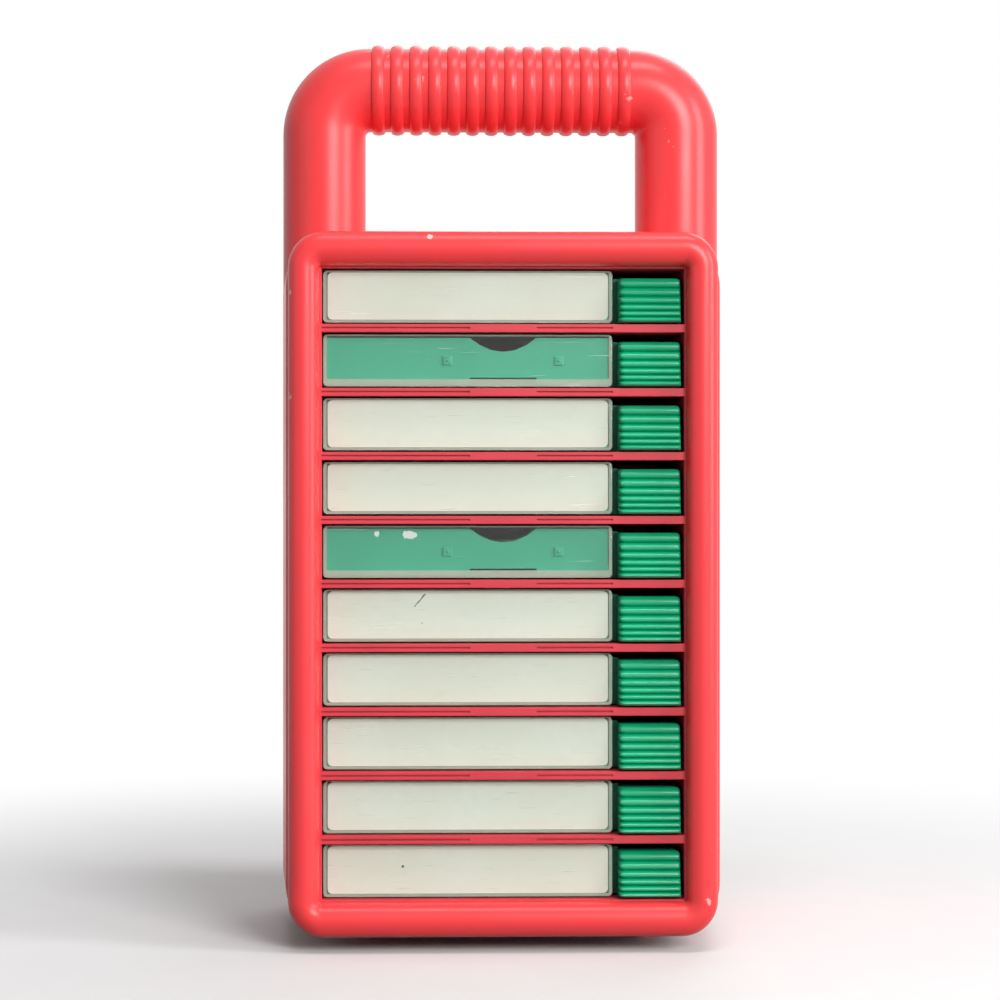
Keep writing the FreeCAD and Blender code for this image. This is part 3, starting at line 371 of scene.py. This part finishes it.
def rectangle_ring(left, right, low, high, y, corner, steps=8):
    """A ring round a rectangle with rounded corners, in the plane at y, seen from the front."""
    corner = max(min(corner, (right - left) / 2, (high - low) / 2), TINY)
    ring = []
    middles = ((right - corner, low + corner), (right - corner, high - corner),
               (left + corner, high - corner), (left + corner, low + corner))
    for quarter, (x, z) in enumerate(middles):
        for step in range(steps + 1):
            angle = math.radians(-90 + 90 * quarter + 90 * step / steps)
            ring.append((x + corner * math.cos(angle), y, z + corner * math.sin(angle)))
    return ring


ROUND = [math.tau * i / 32 for i in range(32)]


def round_ring(x, z, radius, y):
    """A ring round a line that runs front to back."""
    return [(x + radius * math.cos(a), y, z + radius * math.sin(a)) for a in ROUND]


def prism(outline, low, high):
    """A plate with its outline in Y and Z, between two positions across."""
    return loft([[(x, y, z) for y, z in outline] for x in (low, high)], True, True)


def finish(made, body, skin_slot, *nodes):
    """Lets a piece ride its body, in place of the plain solids that it stands for."""
    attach(made, body)
    if nodes:
        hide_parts(*nodes)
    return made


# ---- Outer skin: one smooth form, then parted in two ---------------------------------------------
def slab_distance(x, y, z):
    """How far a point is outside the rounded slab."""
    middle, tall = (SLAB_LOW + SLAB_HIGH) / 2, (SLAB_HIGH - SLAB_LOW) / 2
    wide = np.interp(y, (FRONT, PARTING, BACK), (FRONT_HALF, HALF, BACK_HALF))
    qx = np.abs(x) - wide + SLAB_CORNER
    qz = np.abs(z - middle) - tall + SLAB_CORNER
    flat = np.hypot(np.maximum(qx, 0), np.maximum(qz, 0)) + np.minimum(np.maximum(qx, qz), 0) - SLAB_CORNER
    centre, deep = (FRONT + BACK) / 2, (BACK - FRONT) / 2
    edge = np.where(y < centre, FRONT_EDGE, BACK_EDGE)
    a, b = flat + edge, np.abs(y - centre) - deep + edge
    return np.hypot(np.maximum(a, 0), np.maximum(b, 0)) + np.minimum(np.maximum(a, b), 0) - edge


def handle_distance(x, y, z):
    """How far a point is outside the handle's loop."""
    x = np.abs(x)
    bend_x, bend_z = HANDLE_HALF - HANDLE_BEND, GRIP - HANDLE_BEND
    column = np.hypot(x - HANDLE_HALF, np.maximum(np.maximum(z - bend_z, HANDLE_FOOT - z), 0))
    bar = np.hypot(z - GRIP, np.maximum(x - bend_x, 0))
    turn = np.abs(np.hypot(x - bend_x, z - bend_z) - HANDLE_BEND)
    turn = np.where((x >= bend_x) & (z >= bend_z), turn, 1e3)
    return np.hypot(np.minimum(np.minimum(column, bar), turn), y - PARTING) - HANDLE_RADIUS


def feet_distance(x, y, z):
    """How far a point is outside the four domed feet."""
    ball = (FOOT_RADIUS ** 2 + FOOT_HEIGHT ** 2) / (2 * FOOT_HEIGHT)
    across = np.hypot(np.abs(x) - FOOT_SPREAD, np.abs(y) - FOOT_INSET)
    return np.maximum(np.hypot(across, z - ball) - ball, FOOT_FACE - z)


def slope(distance, points, step=0.02):
    """The gradient of a distance at many points."""
    lean = np.empty_like(points)
    for axis in range(3):
        ahead, behind = points.copy(), points.copy()
        ahead[:, axis] += step
        behind[:, axis] -= step
        lean[:, axis] = (distance(*ahead.T) - distance(*behind.T)) / (2 * step)
    return lean


def blended(x, y, z):
    """The whole form's distance, with fillets only where two forms meet at an angle."""
    points = np.array([x, y, z]).T
    near = slab_distance(x, y, z)
    near_slope = slope(slab_distance, points)
    for other, radius in ((handle_distance, HANDLE_FILLET), (feet_distance, FOOT_FILLET)):
        far = other(x, y, z)
        far_slope = slope(other, points)
        facing = np.clip(1 - (near_slope * far_slope).sum(1), 0, 1)
        reach = radius * facing + 1e-6
        overlap = np.maximum(reach - np.abs(near - far), 0) / reach
        near = np.minimum(near, far) - overlap ** 2 * reach / 4
    return near


def plain_union(x, y, z):
    """The slab, handle and feet without fillets."""
    return np.minimum(np.minimum(slab_distance(x, y, z), handle_distance(x, y, z)), feet_distance(x, y, z))


def net(low, high, step):
    """A quad net over the form: one point in each grid cell that its surface crosses, settled on it."""
    axes = [np.arange(a, b + step, step) for a, b in zip(low, high)]
    inside = plain_union(*np.meshgrid(*axes, indexing="ij")) < 0
    count = np.zeros(tuple(n - 1 for n in inside.shape), int)
    for i in (0, 1):
        for j in (0, 1):
            for k in (0, 1):
                count += inside[i:inside.shape[0] - 1 + i, j:inside.shape[1] - 1 + j,
                                k:inside.shape[2] - 1 + k]
    cells = np.argwhere((count > 0) & (count < 8))
    number = np.full(count.shape, -1)
    number[tuple(cells.T)] = np.arange(len(cells))
    faces = []
    for axis in range(3):
        b, c = (axis + 1) % 3, (axis + 2) % 3
        here = np.take(inside, range(inside.shape[axis] - 1), axis)
        there = np.take(inside, range(1, inside.shape[axis]), axis)
        crossed = np.argwhere(here != there)
        leaving = here[tuple(crossed.T)]
        corners = []
        for db, dc in ((0, 0), (-1, 0), (-1, -1), (0, -1)):
            cell = crossed.copy()
            cell[:, b] += db
            cell[:, c] += dc
            corners.append(number[tuple(cell.T)])
        quads = np.array(corners).T
        faces.append(np.where(leaving[:, None], quads, quads[:, ::-1]))
    points = np.array([axes[a][cells[:, a]] + step / 2 for a in range(3)]).T
    for _ in range(NET_PASSES):
        lean = slope(blended, points)
        points -= blended(*points.T)[:, None] * lean / np.maximum((lean ** 2).sum(1), 0.3)[:, None]
    return points, np.concatenate(faces)


def outer_skin():
    """The closed outer form with its six screw wells cut in from the back."""
    low, high = (-HALF, FRONT, 0), (HALF, BACK, GRIP + HANDLE_RADIUS)
    points, faces = net([at - NET_MARGIN for at in low], [at + NET_MARGIN for at in high],
                        NET_STEP)
    skin = piece("outer_form", points, faces, RED)
    wells = [loft([round_ring(x, z, WELL_RADIUS, y) for y in (SCREW_SEAT, BACK + WELL_OVERRUN)], True, True)
             for x, z in SCREW_SPOTS]
    cutter = sharpen(piece("well_form", *joined(wells), RED), 35.0, 0.001)
    carve = skin.modifiers.new("wells", "BOOLEAN")
    carve.operation = "DIFFERENCE"
    carve.object = cutter
    carve.solver = "EXACT"
    made = bpy.data.meshes.new_from_object(skin.evaluated_get(bpy.context.evaluated_depsgraph_get()))
    bpy.data.objects.remove(skin)
    bpy.data.objects.remove(cutter)
    return made


def keep_side(form, side):
    """Cuts a form where the seam starts on one side of the parting plane, and keeps that side."""
    bmesh.ops.bisect_plane(form, geom=form.verts[:] + form.edges[:] + form.faces[:], dist=1e-7,
                           plane_co=(0, (PARTING + side * SEAM_HALF) * MM, 0), plane_no=(0, -side, 0),
                           clear_outer=True)


def behind_frame(face):
    """Whether a face of the slab's front is where the rolled frame and the opening are."""
    x, y, z = face.calc_center_median()
    return (y < (FRONT + HIDDEN_DEPTH) * MM and abs(x) < (OPENING_HALF + HIDDEN_SIDE) * MM
            and (OPENING_LOW - HIDDEN_END) * MM < z < (OPENING_HIGH + HIDDEN_END) * MM)


def half_skin(whole, side):
    """The outer form on one side of the parting plane, with half of the fine seam round it."""
    form = bmesh.new()
    form.from_mesh(whole)
    keep_side(form, side)
    if side < 0:
        bmesh.ops.delete(form, geom=[f for f in form.faces if behind_frame(f)], context="FACES")
    cut, lip = PARTING + side * SEAM_HALF, PARTING + side * SEAT_GAP
    for inward in (SEAM_DEPTH, WALL):
        rim = [e for e in form.edges if e.is_boundary
               and all(abs(v.co.y - cut * MM) < 1e-6 for v in e.verts)]
        grown = bmesh.ops.extrude_edge_only(form, edges=rim)["geom"]
        moved = [v for v in grown if isinstance(v, bmesh.types.BMVert)]
        places = np.array([v.co for v in moved]) / MM
        lean = slope(blended, places)
        lean[:, 1] = 0
        lean /= np.maximum(np.linalg.norm(lean, axis=1), 1e-6)[:, None]
        for vert, place in zip(moved, places - lean * inward):
            vert.co = Vector((place[0], lip, place[2])) * MM
        cut = lip
    mesh = bpy.data.meshes.new("half")
    form.to_mesh(mesh)
    form.free()
    return mesh


def rolled_frame():
    """The half-round frame that stands proud round the drawers, with mitred inner corners.

    Its heel closes the back of its outer side, where the slab's corners are rounder than the frame's.
    """
    middle, steps = ROLL_SIDE / 2, 24
    profile = [(ROLL_SIDE + inset, y) for inset, y in ROLL_HEEL]
    for step in range(steps + 1):
        angle = math.pi * step / steps
        profile.append((middle + middle * math.cos(angle),
                        CREST + ROLL_DEPTH - ROLL_DEPTH * math.sin(angle) ** ROLL_FULLNESS))
    profile += [(0.0, FRONT), (MOUTH_STEP, FRONT), (MOUTH_STEP, MOUTH_BACK)]
    rings = []
    for out, y in profile:
        up = out * ROLL_END / ROLL_SIDE
        corner = OPENING_CORNER + out * (ROLL_CORNER - OPENING_CORNER) / ROLL_SIDE
        rings.append(rectangle_ring(-OPENING_HALF - out, OPENING_HALF + out, OPENING_LOW - up,
                                    OPENING_HIGH + up, y, corner, steps=14))
    return loft(rings)


def begun(name, sizes, count=None):
    """A geometry-nodes tree with its named sizes, and a whole number if it counts something."""
    tree = bpy.data.node_groups.new(name, "GeometryNodeTree")
    for way in ("INPUT", "OUTPUT"):
        tree.interface.new_socket("Geometry", in_out=way, socket_type="NodeSocketGeometry")
    if count:
        tree.interface.new_socket(count, in_out="INPUT", socket_type="NodeSocketInt")
    for size in sizes:
        tree.interface.new_socket(size, in_out="INPUT", socket_type="NodeSocketFloat")
    return tree, add(tree, "NodeGroupInput").outputs


def ended(tree, form, skin):
    """The tree, with its form made real, dressed in a material and given out."""
    solid = add(tree, "GeometryNodeRealizeInstances", {"Geometry": form})
    dressed = add(tree, "GeometryNodeSetMaterial", {"Geometry": solid.outputs[0], "Material": skin})
    add(tree, "NodeGroupOutput", {0: dressed.outputs[0]})
    return tree


def ring_tree():
    """Geometry nodes: rounded rings in a row along the grip."""
    tree, given = begun("grip_rings", ("Pitch", "Grip radius", "Ring width", "Ring rise"), "Count")
    offset = add(tree, "ShaderNodeCombineXYZ", {"X": given["Pitch"]})
    line = add(tree, "GeometryNodeMeshLine", {"Count": given["Count"], "Offset": offset.outputs[0]})
    loop = add(tree, "GeometryNodeCurvePrimitiveCircle", {"Resolution": 96, "Radius": given["Grip radius"]})
    section = add(tree, "GeometryNodeCurvePrimitiveCircle", {"Resolution": 20, "Radius": 1.0})
    half = add(tree, "ShaderNodeMath", {0: given["Ring width"], 1: 0.5}, operation="MULTIPLY")
    shape = add(tree, "ShaderNodeCombineXYZ", {"X": given["Ring rise"], "Y": half.outputs[0], "Z": 1.0})
    oval = add(tree, "GeometryNodeTransform", {"Geometry": section.outputs[0], "Scale": shape.outputs[0]})
    ring = add(tree, "GeometryNodeCurveToMesh", {"Curve": loop.outputs[0], "Profile Curve": oval.outputs[0]})
    turned = add(tree, "GeometryNodeTransform", {"Geometry": ring.outputs[0],
                                                 "Rotation": (0.0, math.pi / 2, 0.0)})
    spread = add(tree, "GeometryNodeInstanceOnPoints", {"Points": line.outputs[0],
                                                        "Instance": turned.outputs[0]})
    return ended(tree, spread.outputs[0], RED)


def grown(tree, values, skin):
    """The plain mesh that a geometry-nodes tree gives for its named inputs."""
    seed = piece(f"{tree.name}_seed", [(0, 0, 0)], [], skin)
    growth = seed.modifiers.new("growth", "NODES")
    growth.node_group = tree
    sockets = {s.name: s.identifier for s in tree.interface.items_tree if s.in_out == "INPUT"}
    for name, value in values.items():
        growth[sockets[name]] = value
    made = bpy.data.meshes.new_from_object(seed.evaluated_get(bpy.context.evaluated_depsgraph_get()))
    bpy.data.objects.remove(seed)
    return made


def shells():
    """The front and rear mouldings with their share of the rings."""
    whole = outer_skin()
    rings = grown(ring_tree(), {"Count": RING_COUNT, "Pitch": RING_PITCH * MM,
                                "Grip radius": HANDLE_RADIUS * MM, "Ring width": RING_WIDTH * MM,
                                "Ring rise": RING_RISE * MM}, RED)
    rings.transform(Matrix.Translation(Vector((-(RING_COUNT - 1) * RING_PITCH / 2, PARTING, GRIP)) * MM))
    for name, side in (("front_shell", -1), ("rear_shell", 1)):
        form = bmesh.new()
        form.from_mesh(rings)
        keep_side(form, side)
        form.from_mesh(half_skin(whole, side))
        if side < 0:
            form.from_mesh(mesh_of("frame", *rolled_frame()))
        mesh = bpy.data.meshes.new(f"{name}_moulding")
        form.to_mesh(mesh)
        form.free()
        mesh.materials.clear()
        mesh.materials.append(RED)
        made = placed(f"{name}_moulding", mesh)
        sharpen(made, 38.0)
        finish(made, "case", "case_red", name)


# ---- Drawer fronts -------------------------------------------------------------------------------
def window_cap(row):
    """The clear cap: a face with rounded edges, and its walls, whose edges are painted pale for the light
    they gather.
    """
    low = floor_of(row) + CAP_LIFT
    left, right, high = CAP_LEFT, CAP_LEFT + CAP_WIDTH, low + CAP_HEIGHT
    steps, seat = 5, CAP_FRONT + CAP_FACE
    rings = [rectangle_ring(left, right, low, high, seat, CAP_CORNER)]
    for step in range(steps + 1):
        angle = math.pi / 2 * step / steps
        inset = CAP_ROUND * (1 - math.cos(angle))
        rings.append(rectangle_ring(left + inset, right - inset, low + inset, high - inset,
                                    CAP_FRONT + CAP_ROUND * (1 - math.sin(angle)), CAP_CORNER - inset))
    made = piece(f"clear_face_{row:02d}", *loft(rings, True, True), CLEAR)
    sharpen(made, 30.0, 0.001)
    finish(made, f"drawer_{row:02d}", "clear_cap", f"window_cap_{row:02d}")
    outer = (left, right, low, high)
    foot = CAP_BARE_FOOT if row in BARE_ROWS else CAP_FOOT
    inner = (left + CAP_WALL, right - CAP_WALL, low + foot, high - CAP_TOP_WALL)
    start = seat + SEAT_GAP
    walls = [rectangle_ring(*side, y, corner) for side, y, corner in (
        (outer, start, CAP_CORNER), (outer, CAP_BACK, CAP_CORNER), (inner, CAP_BACK, CAP_INNER_CORNER),
        (inner, start, CAP_INNER_CORNER), (outer, start, CAP_CORNER))]
    made = piece(f"clear_walls_{row:02d}", *loft(walls), CLEAR_EDGE)
    sharpen(made, 30.0, 0.001)
    finish(made, f"drawer_{row:02d}", "clear_cap")


def label_card(row):
    """A paper card with rounded corners."""
    middle_x = CAP_LEFT + CAP_WIDTH / 2
    middle_z = floor_of(row) + CAP_LIFT + CAP_HEIGHT - CAP_TOP_WALL - CARD_GAP - CARD_HEIGHT / 2
    box = (middle_x - CARD_WIDTH / 2, middle_x + CARD_WIDTH / 2, middle_z - CARD_HEIGHT / 2,
           middle_z + CARD_HEIGHT / 2)
    back = CAP_FRONT + CAP_FACE + CARD_THICKNESS
    rings = [rectangle_ring(*box, y, CARD_CORNER) for y in (back, CARD_FACE)]
    made = piece(f"paper_card_{row:02d}", *loft(rings, True, True), CARD)
    sharpen(made, 30.0, 0.001)
    finish(made, f"drawer_{row:02d}", "card", f"label_card_{row:02d}")


def front_bosses(row):
    """Two low square bosses on a tray's front, each with a moulding dot."""
    middle, steps, parts = floor_of(row) + CAP_LIFT + CAP_HEIGHT / 2, 6, []
    for x in (-BOSS_SIDE, BOSS_SIDE):
        for half, base, rise, soft, corner in (
                (BOSS_HALF, BOSS_FRONT, BOSS_RISE, BOSS_ROUND, BOSS_CORNER),
                (DOT_HALF, BOSS_FRONT - BOSS_RISE, DOT_RISE, DOT_HALF, DOT_HALF)):
            rings = []
            for step in range(steps + 1):
                angle = math.pi / 2 * step / steps
                size = max(half - soft * (1 - math.cos(angle)), 2 * TINY)
                rings.append(rectangle_ring(x - size, x + size, middle - size, middle + size,
                                            base - rise * math.sin(angle), corner, steps=4))
            parts.append(loft(rings, False, True))
    made = piece(f"tray_bosses_{row:02d}", *joined(parts), TRAY_GREEN)
    sharpen(made, 40.0, 0.001)
    finish(made, f"drawer_{row:02d}", "tray_green")


def ribs():
    """Each rib's top and height, from the button's top down."""
    top = BUTTON_HEIGHT
    for share in RIB_SHARES:
        tall = BUTTON_HEIGHT * share / sum(RIB_SHARES)
        yield top, tall
        top -= tall


def rib_face(height):
    """Where the ribbed face stands at a height above the button's foot, and the rib's share of its rise."""
    face = GROOVE_TOP - BUTTON_LEAN * (1 - height / BUTTON_HEIGHT)
    for top, tall in ribs():
        if height >= top - tall - 1e-9:
            along = min(max((top - height) / tall, 0.0), 1.0)
            return face, math.sin(math.pi * along) ** RIB_FULLNESS
    return face, 0.0


def rib_heights():
    """Heights that follow every rib closely, from the top down."""
    heights, steps = [BUTTON_HEIGHT], 10
    for top, tall in ribs():
        heights += [top - tall * (1 - math.cos(math.pi * step / steps)) / 2 for step in range(1, steps + 1)]
    return heights


def rounded_off(inset):
    """The share of a rib's rise that is left at an inset from its end."""
    return math.sqrt(max(1 - (max(NOSE_ROUND - inset, 0.0) / NOSE_ROUND) ** 2, 0.0))


def button_block(low):
    """The lever's hollow button with six rounded ribs, finer towards its foot."""
    from_left = [0.0, 0.05, 0.15, 0.3, 0.45, 0.6, 0.8, 1.0, 1.25, 1.5, 1.8, 2.2]
    from_right = [0.9, 0.75, 0.6, 0.45, 0.3, 0.15, 0.05, 0.0]
    grid = []
    for height in rib_heights():
        face, bulge = rib_face(height)
        over = max(height - (BUTTON_HEIGHT - BUTTON_ROUND), 0.0)
        right = BUTTON_RIGHT - BUTTON_ROUND + math.sqrt(max(BUTTON_ROUND ** 2 - over ** 2, 0.0))
        line = []
        for x in [BUTTON_LEFT + inset for inset in from_left] + [right - inset for inset in from_right]:
            back = LEFT_FALL * max(1 - (x - BUTTON_LEFT) / RIB_END, 0.0) ** LEFT_SWEEP
            ends = rounded_off(x - BUTTON_LEFT) * (RIB_RIGHT + (1 - RIB_RIGHT) * rounded_off(right - x))
            near = max(BUTTON_LIP - (right - x), 0.0)
            lip = BUTTON_LIP - math.sqrt(max(BUTTON_LIP ** 2 - near ** 2, 0.0))
            line.append((x, face + back - bulge * (RIB_RISE + back) * ends + lip, low + height))
        grid.append(line)
    tall, wide = len(grid), len(grid[0])
    points = [point for line in grid for point in line]
    faces = [(r * wide + c, (r + 1) * wide + c, (r + 1) * wide + c + 1, r * wide + c + 1)
             for r in range(tall - 1) for c in range(wide - 1)]
    rim = [(0, c) for c in range(wide)] + [(r, wide - 1) for r in range(1, tall)]
    rim += [(tall - 1, c) for c in range(wide - 2, -1, -1)] + [(r, 0) for r in range(tall - 2, 0, -1)]
    front = [grid[r][c] for r, c in rim]
    outer = [(x, BUTTON_BACK, z) for x, y, z in front]
    inner_left, inner_right = BUTTON_LEFT + BUTTON_WALL, BUTTON_RIGHT - BUTTON_WALL
    inner = [(min(max(x, inner_left), inner_right), BUTTON_BACK,
              min(max(z, low + BUTTON_WALL), low + BUTTON_HEIGHT - BUTTON_WALL)) for x, y, z in front]
    deep = [(x, GROOVE_TOP + BUTTON_WALL, z) for x, y, z in inner]
    sides = loft([front, outer, inner, deep], False, True)
    return joined([(points, faces), sides])


def latch_lever(row):
    """The whole lever: button, arm with its nose, pivot eye and spring tongue."""
    floor = floor_of(row)
    pivot_z = floor + PIVOT_RISE
    low, high = pivot_z - ARM_HEIGHT / 2, pivot_z + ARM_HEIGHT / 2
    nose_back = NOSE_FRONT + NOSE_LENGTH
    arm_front = BUTTON_BACK - ARM_TUCK
    arm = [(arm_front, low), (NOSE_FRONT, low), (NOSE_FRONT, low - NOSE_DROP),
           (nose_back, low - NOSE_DROP), (nose_back + NOSE_RAMP, low + ARM_RELIEF),
           (PIVOT_Y, low + ARM_RELIEF), (PIVOT_Y, high), (arm_front, high)]
    eye = loft([[(x, PIVOT_Y + r * math.cos(a), pivot_z + r * math.sin(a)) for a in ROUND]
                for r, x in ((PIVOT_HOLE, ARM_IN), (PIVOT_BOSS, ARM_IN), (PIVOT_BOSS, ARM_OUT),
                             (PIVOT_HOLE, ARM_OUT), (PIVOT_HOLE, ARM_IN))])
    start, end, under = PIVOT_Y + TONGUE_START, PIVOT_Y + TONGUE_END, pivot_z + PIVOT_BOSS / 3
    over = under + TONGUE_THICKNESS
    tongue = [(start, under), (end, under), (end, over), (start, over)]
    made = piece(f"latch_lever_{row:02d}", *joined([
        button_block(floor + BUTTON_LIFT), prism(arm, ARM_IN, ARM_OUT), eye,
        prism(tongue, ARM_IN, ARM_OUT)]), LEVER_GREEN)
    sharpen(made, 50.0, 0.004)
    finish(made, f"latch_{row:02d}", "button_green", f"latch_button_{row:02d}")


def spring_tree():
    """Geometry nodes: a cone-wound wire spring standing along its axis."""
    tree, given = begun("cone_spring", ("Turns", "Small radius", "Large radius", "Length", "Wire"))
    coil = add(tree, "GeometryNodeCurveSpiral", {
        "Resolution": 28, "Rotations": given["Turns"], "Start Radius": given["Small radius"],
        "End Radius": given["Large radius"], "Height": given["Length"]})
    wire = add(tree, "GeometryNodeCurvePrimitiveCircle", {"Resolution": 8, "Radius": given["Wire"]})
    tube = add(tree, "GeometryNodeCurveToMesh", {"Curve": coil.outputs[0], "Profile Curve": wire.outputs[0],
                                                 "Fill Caps": True})
    turned = add(tree, "GeometryNodeTransform", {"Geometry": tube.outputs[0],
                                                 "Rotation": (-math.pi / 2, 0.0, 0.0)})
    return ended(tree, turned.outputs[0], SPRING_STEEL)


def eject_springs():
    """Ten cone springs, each between its drawer and the rack's back."""
    length = SPRING_BACK - SPRING_FRONT - 2 * SPRING_WIRE
    coil = grown(spring_tree(), {"Turns": SPRING_TURNS, "Small radius": SPRING_SMALL * MM,
                                 "Large radius": SPRING_LARGE * MM, "Length": length * MM,
                                 "Wire": SPRING_WIRE * MM}, SPRING_STEEL)
    for row in range(1, ROWS + 1):
        mesh = coil.copy()
        middle = Vector((0.0, SPRING_FRONT + SPRING_WIRE, floor_of(row) + SPRING_RISE)) * MM
        mesh.transform(Matrix.Translation(middle))
        mesh.shade_smooth()
        made = placed(f"cone_spring_{row:02d}", mesh)
        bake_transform(made)
        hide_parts(f"eject_spring_{row:02d}")


def screws():
    """Six pan-head screws with a cross recess."""
    parts = []
    for x, z in SCREW_SPOTS:
        rings = [round_ring(x, z, max(radius, TINY), y) for radius, y in SCREW_PROFILE]
        for share, y in ((1.0, SCREW_TOP), (RECESS_TAPER, RECESS_FLOOR)):
            cross = []
            for angle in ROUND:
                turn = (angle + math.pi / 4) % (math.pi / 2) - math.pi / 4
                in_arm = abs(math.sin(turn) * RECESS_REACH) < RECESS_HALF
                reach = share * (RECESS_REACH if in_arm else RECESS_ROOT)
                cross.append((x + reach * math.cos(angle), y, z + reach * math.sin(angle)))
            rings.append(cross)
        parts.append(loft(rings, True, True))
    made = piece("shell_screws", *joined(parts), SCREW_STEEL)
    sharpen(made, 35.0, 0.002)
    finish(made, "case", "screw_steel", "case_screws")


shells()
screws()
for row in range(1, ROWS + 1):
    window_cap(row)
    latch_lever(row)
    if row in BARE_ROWS:
        front_bosses(row)
    else:
        label_card(row)
eject_springs()
for name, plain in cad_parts.items():
    for start, skin in (("drawer_rack", RACK_RED), ("drawer_tray", TRAY_GREEN)):
        if name.startswith(start):
            plain.data.materials.clear()
            plain.data.materials.append(skin)


# ---- Floor, light and camera ---------------------------------------------------------------------
def pale_floor():
    """A pale floor that takes the case's shadow and fades to white away from it."""
    made, tree, shader, here = material("pale_floor")
    grain = add(tree, "ShaderNodeTexNoise", {"Vector": here, "Scale": 60.0, "Detail": 2.0})
    tint = add(tree, "ShaderNodeMix", {0: grain.outputs[0], 6: linear("F2F2F2"), 7: linear("EEEEEE")},
               data_type="RGBA")
    # Light that has bounced meets a darker floor, so that the case's own colours stay plain.
    rays = add(tree, "ShaderNodeLightPath").outputs
    seen = add(tree, "ShaderNodeMath", {0: rays["Diffuse Depth"], 1: 0.5}, operation="LESS_THAN")
    plain = add(tree, "ShaderNodeMix", {0: seen.outputs[0], 6: linear("5C5C5C"), 7: tint.outputs[2]},
                data_type="RGBA")
    tree.links.new(plain.outputs[2], shader.inputs["Base Color"])
    away = add(tree, "ShaderNodeVectorMath", {0: here}, operation="LENGTH")
    far = add(tree, "ShaderNodeMapRange", {0: away.outputs["Value"], 1: FADE_START * MM, 2: FADE_END * MM},
              interpolation_type="SMOOTHSTEP")
    share = add(tree, "ShaderNodeMath", {0: far.outputs[0], 1: seen.outputs[0]}, operation="MULTIPLY")
    white = add(tree, "ShaderNodeEmission", {"Color": linear("FFFFFF"), "Strength": 1.0})
    both = add(tree, "ShaderNodeMixShader", {0: share.outputs[0], 1: shader.outputs[0], 2: white.outputs[0]})
    tree.links.new(both.outputs[0], tree.nodes["Material Output"].inputs["Surface"])
    shader.inputs["Roughness"].default_value = 0.7
    corners = [(x * FLOOR_HALF, y * FLOOR_HALF, 0) for x, y in ((-1, -1), (1, -1), (1, 1), (-1, 1))]
    ground = piece("floor", corners, [(0, 1, 2, 3)], made)


def studio():
    """An even dim room that shows white to the eye, through clear plastic and in reflections."""
    world = bpy.data.worlds.new("studio")
    bpy.context.scene.world = world
    world.use_nodes = True
    tree = world.node_tree
    tree.nodes.clear()
    rays = add(tree, "ShaderNodeLightPath").outputs
    clear = add(tree, "ShaderNodeMath", {0: rays["Is Camera Ray"], 1: rays["Is Transmission Ray"]},
                operation="MAXIMUM")
    shine = add(tree, "ShaderNodeMath", {0: clear.outputs[0], 1: rays["Is Glossy Ray"]}, operation="MAXIMUM")
    first = add(tree, "ShaderNodeMath", {0: rays["Diffuse Depth"], 1: 0.5}, operation="LESS_THAN")
    seen = add(tree, "ShaderNodeMath", {0: shine.outputs[0], 1: first.outputs[0]}, operation="MULTIPLY")
    room = add(tree, "ShaderNodeBackground", {"Color": linear("FFFFFF"), "Strength": ROOM_LIGHT})
    white = add(tree, "ShaderNodeBackground", {"Color": linear("FFFFFF"), "Strength": 1.0})
    chosen = add(tree, "ShaderNodeMixShader", {0: seen.outputs[0], 1: room.outputs[0], 2: white.outputs[0]})
    add(tree, "ShaderNodeOutputWorld", {0: chosen.outputs[0]})


def aimed(name, data, place, target):
    """A lamp or camera at a place, turned to a target."""
    made = placed(name, data)
    made.location = place
    made.rotation_euler = (Vector(target) - Vector(place)).to_track_quat("-Z", "Y").to_euler()
    return made


def lamp(name, place, size, power):
    """A soft rectangular lamp aimed at the case's middle."""
    light = bpy.data.lights.new(name, "AREA")
    light.shape = "RECTANGLE"
    light.size, light.size_y = size
    light.energy = power
    aimed(name, light, place, LAMP_TARGET)


def camera():
    """A long lens level with the case's middle, a little left of its centre."""
    lens = bpy.data.cameras.new("camera")
    lens.lens = LENS
    bpy.context.scene.camera = aimed("camera", lens, CAMERA_PLACE, CAMERA_TARGET)


pale_floor()
studio()
for name, place, size, power in LAMPS:
    lamp(name, place, size, power)
camera()
bpy.context.scene.view_settings.view_transform = "Standard"
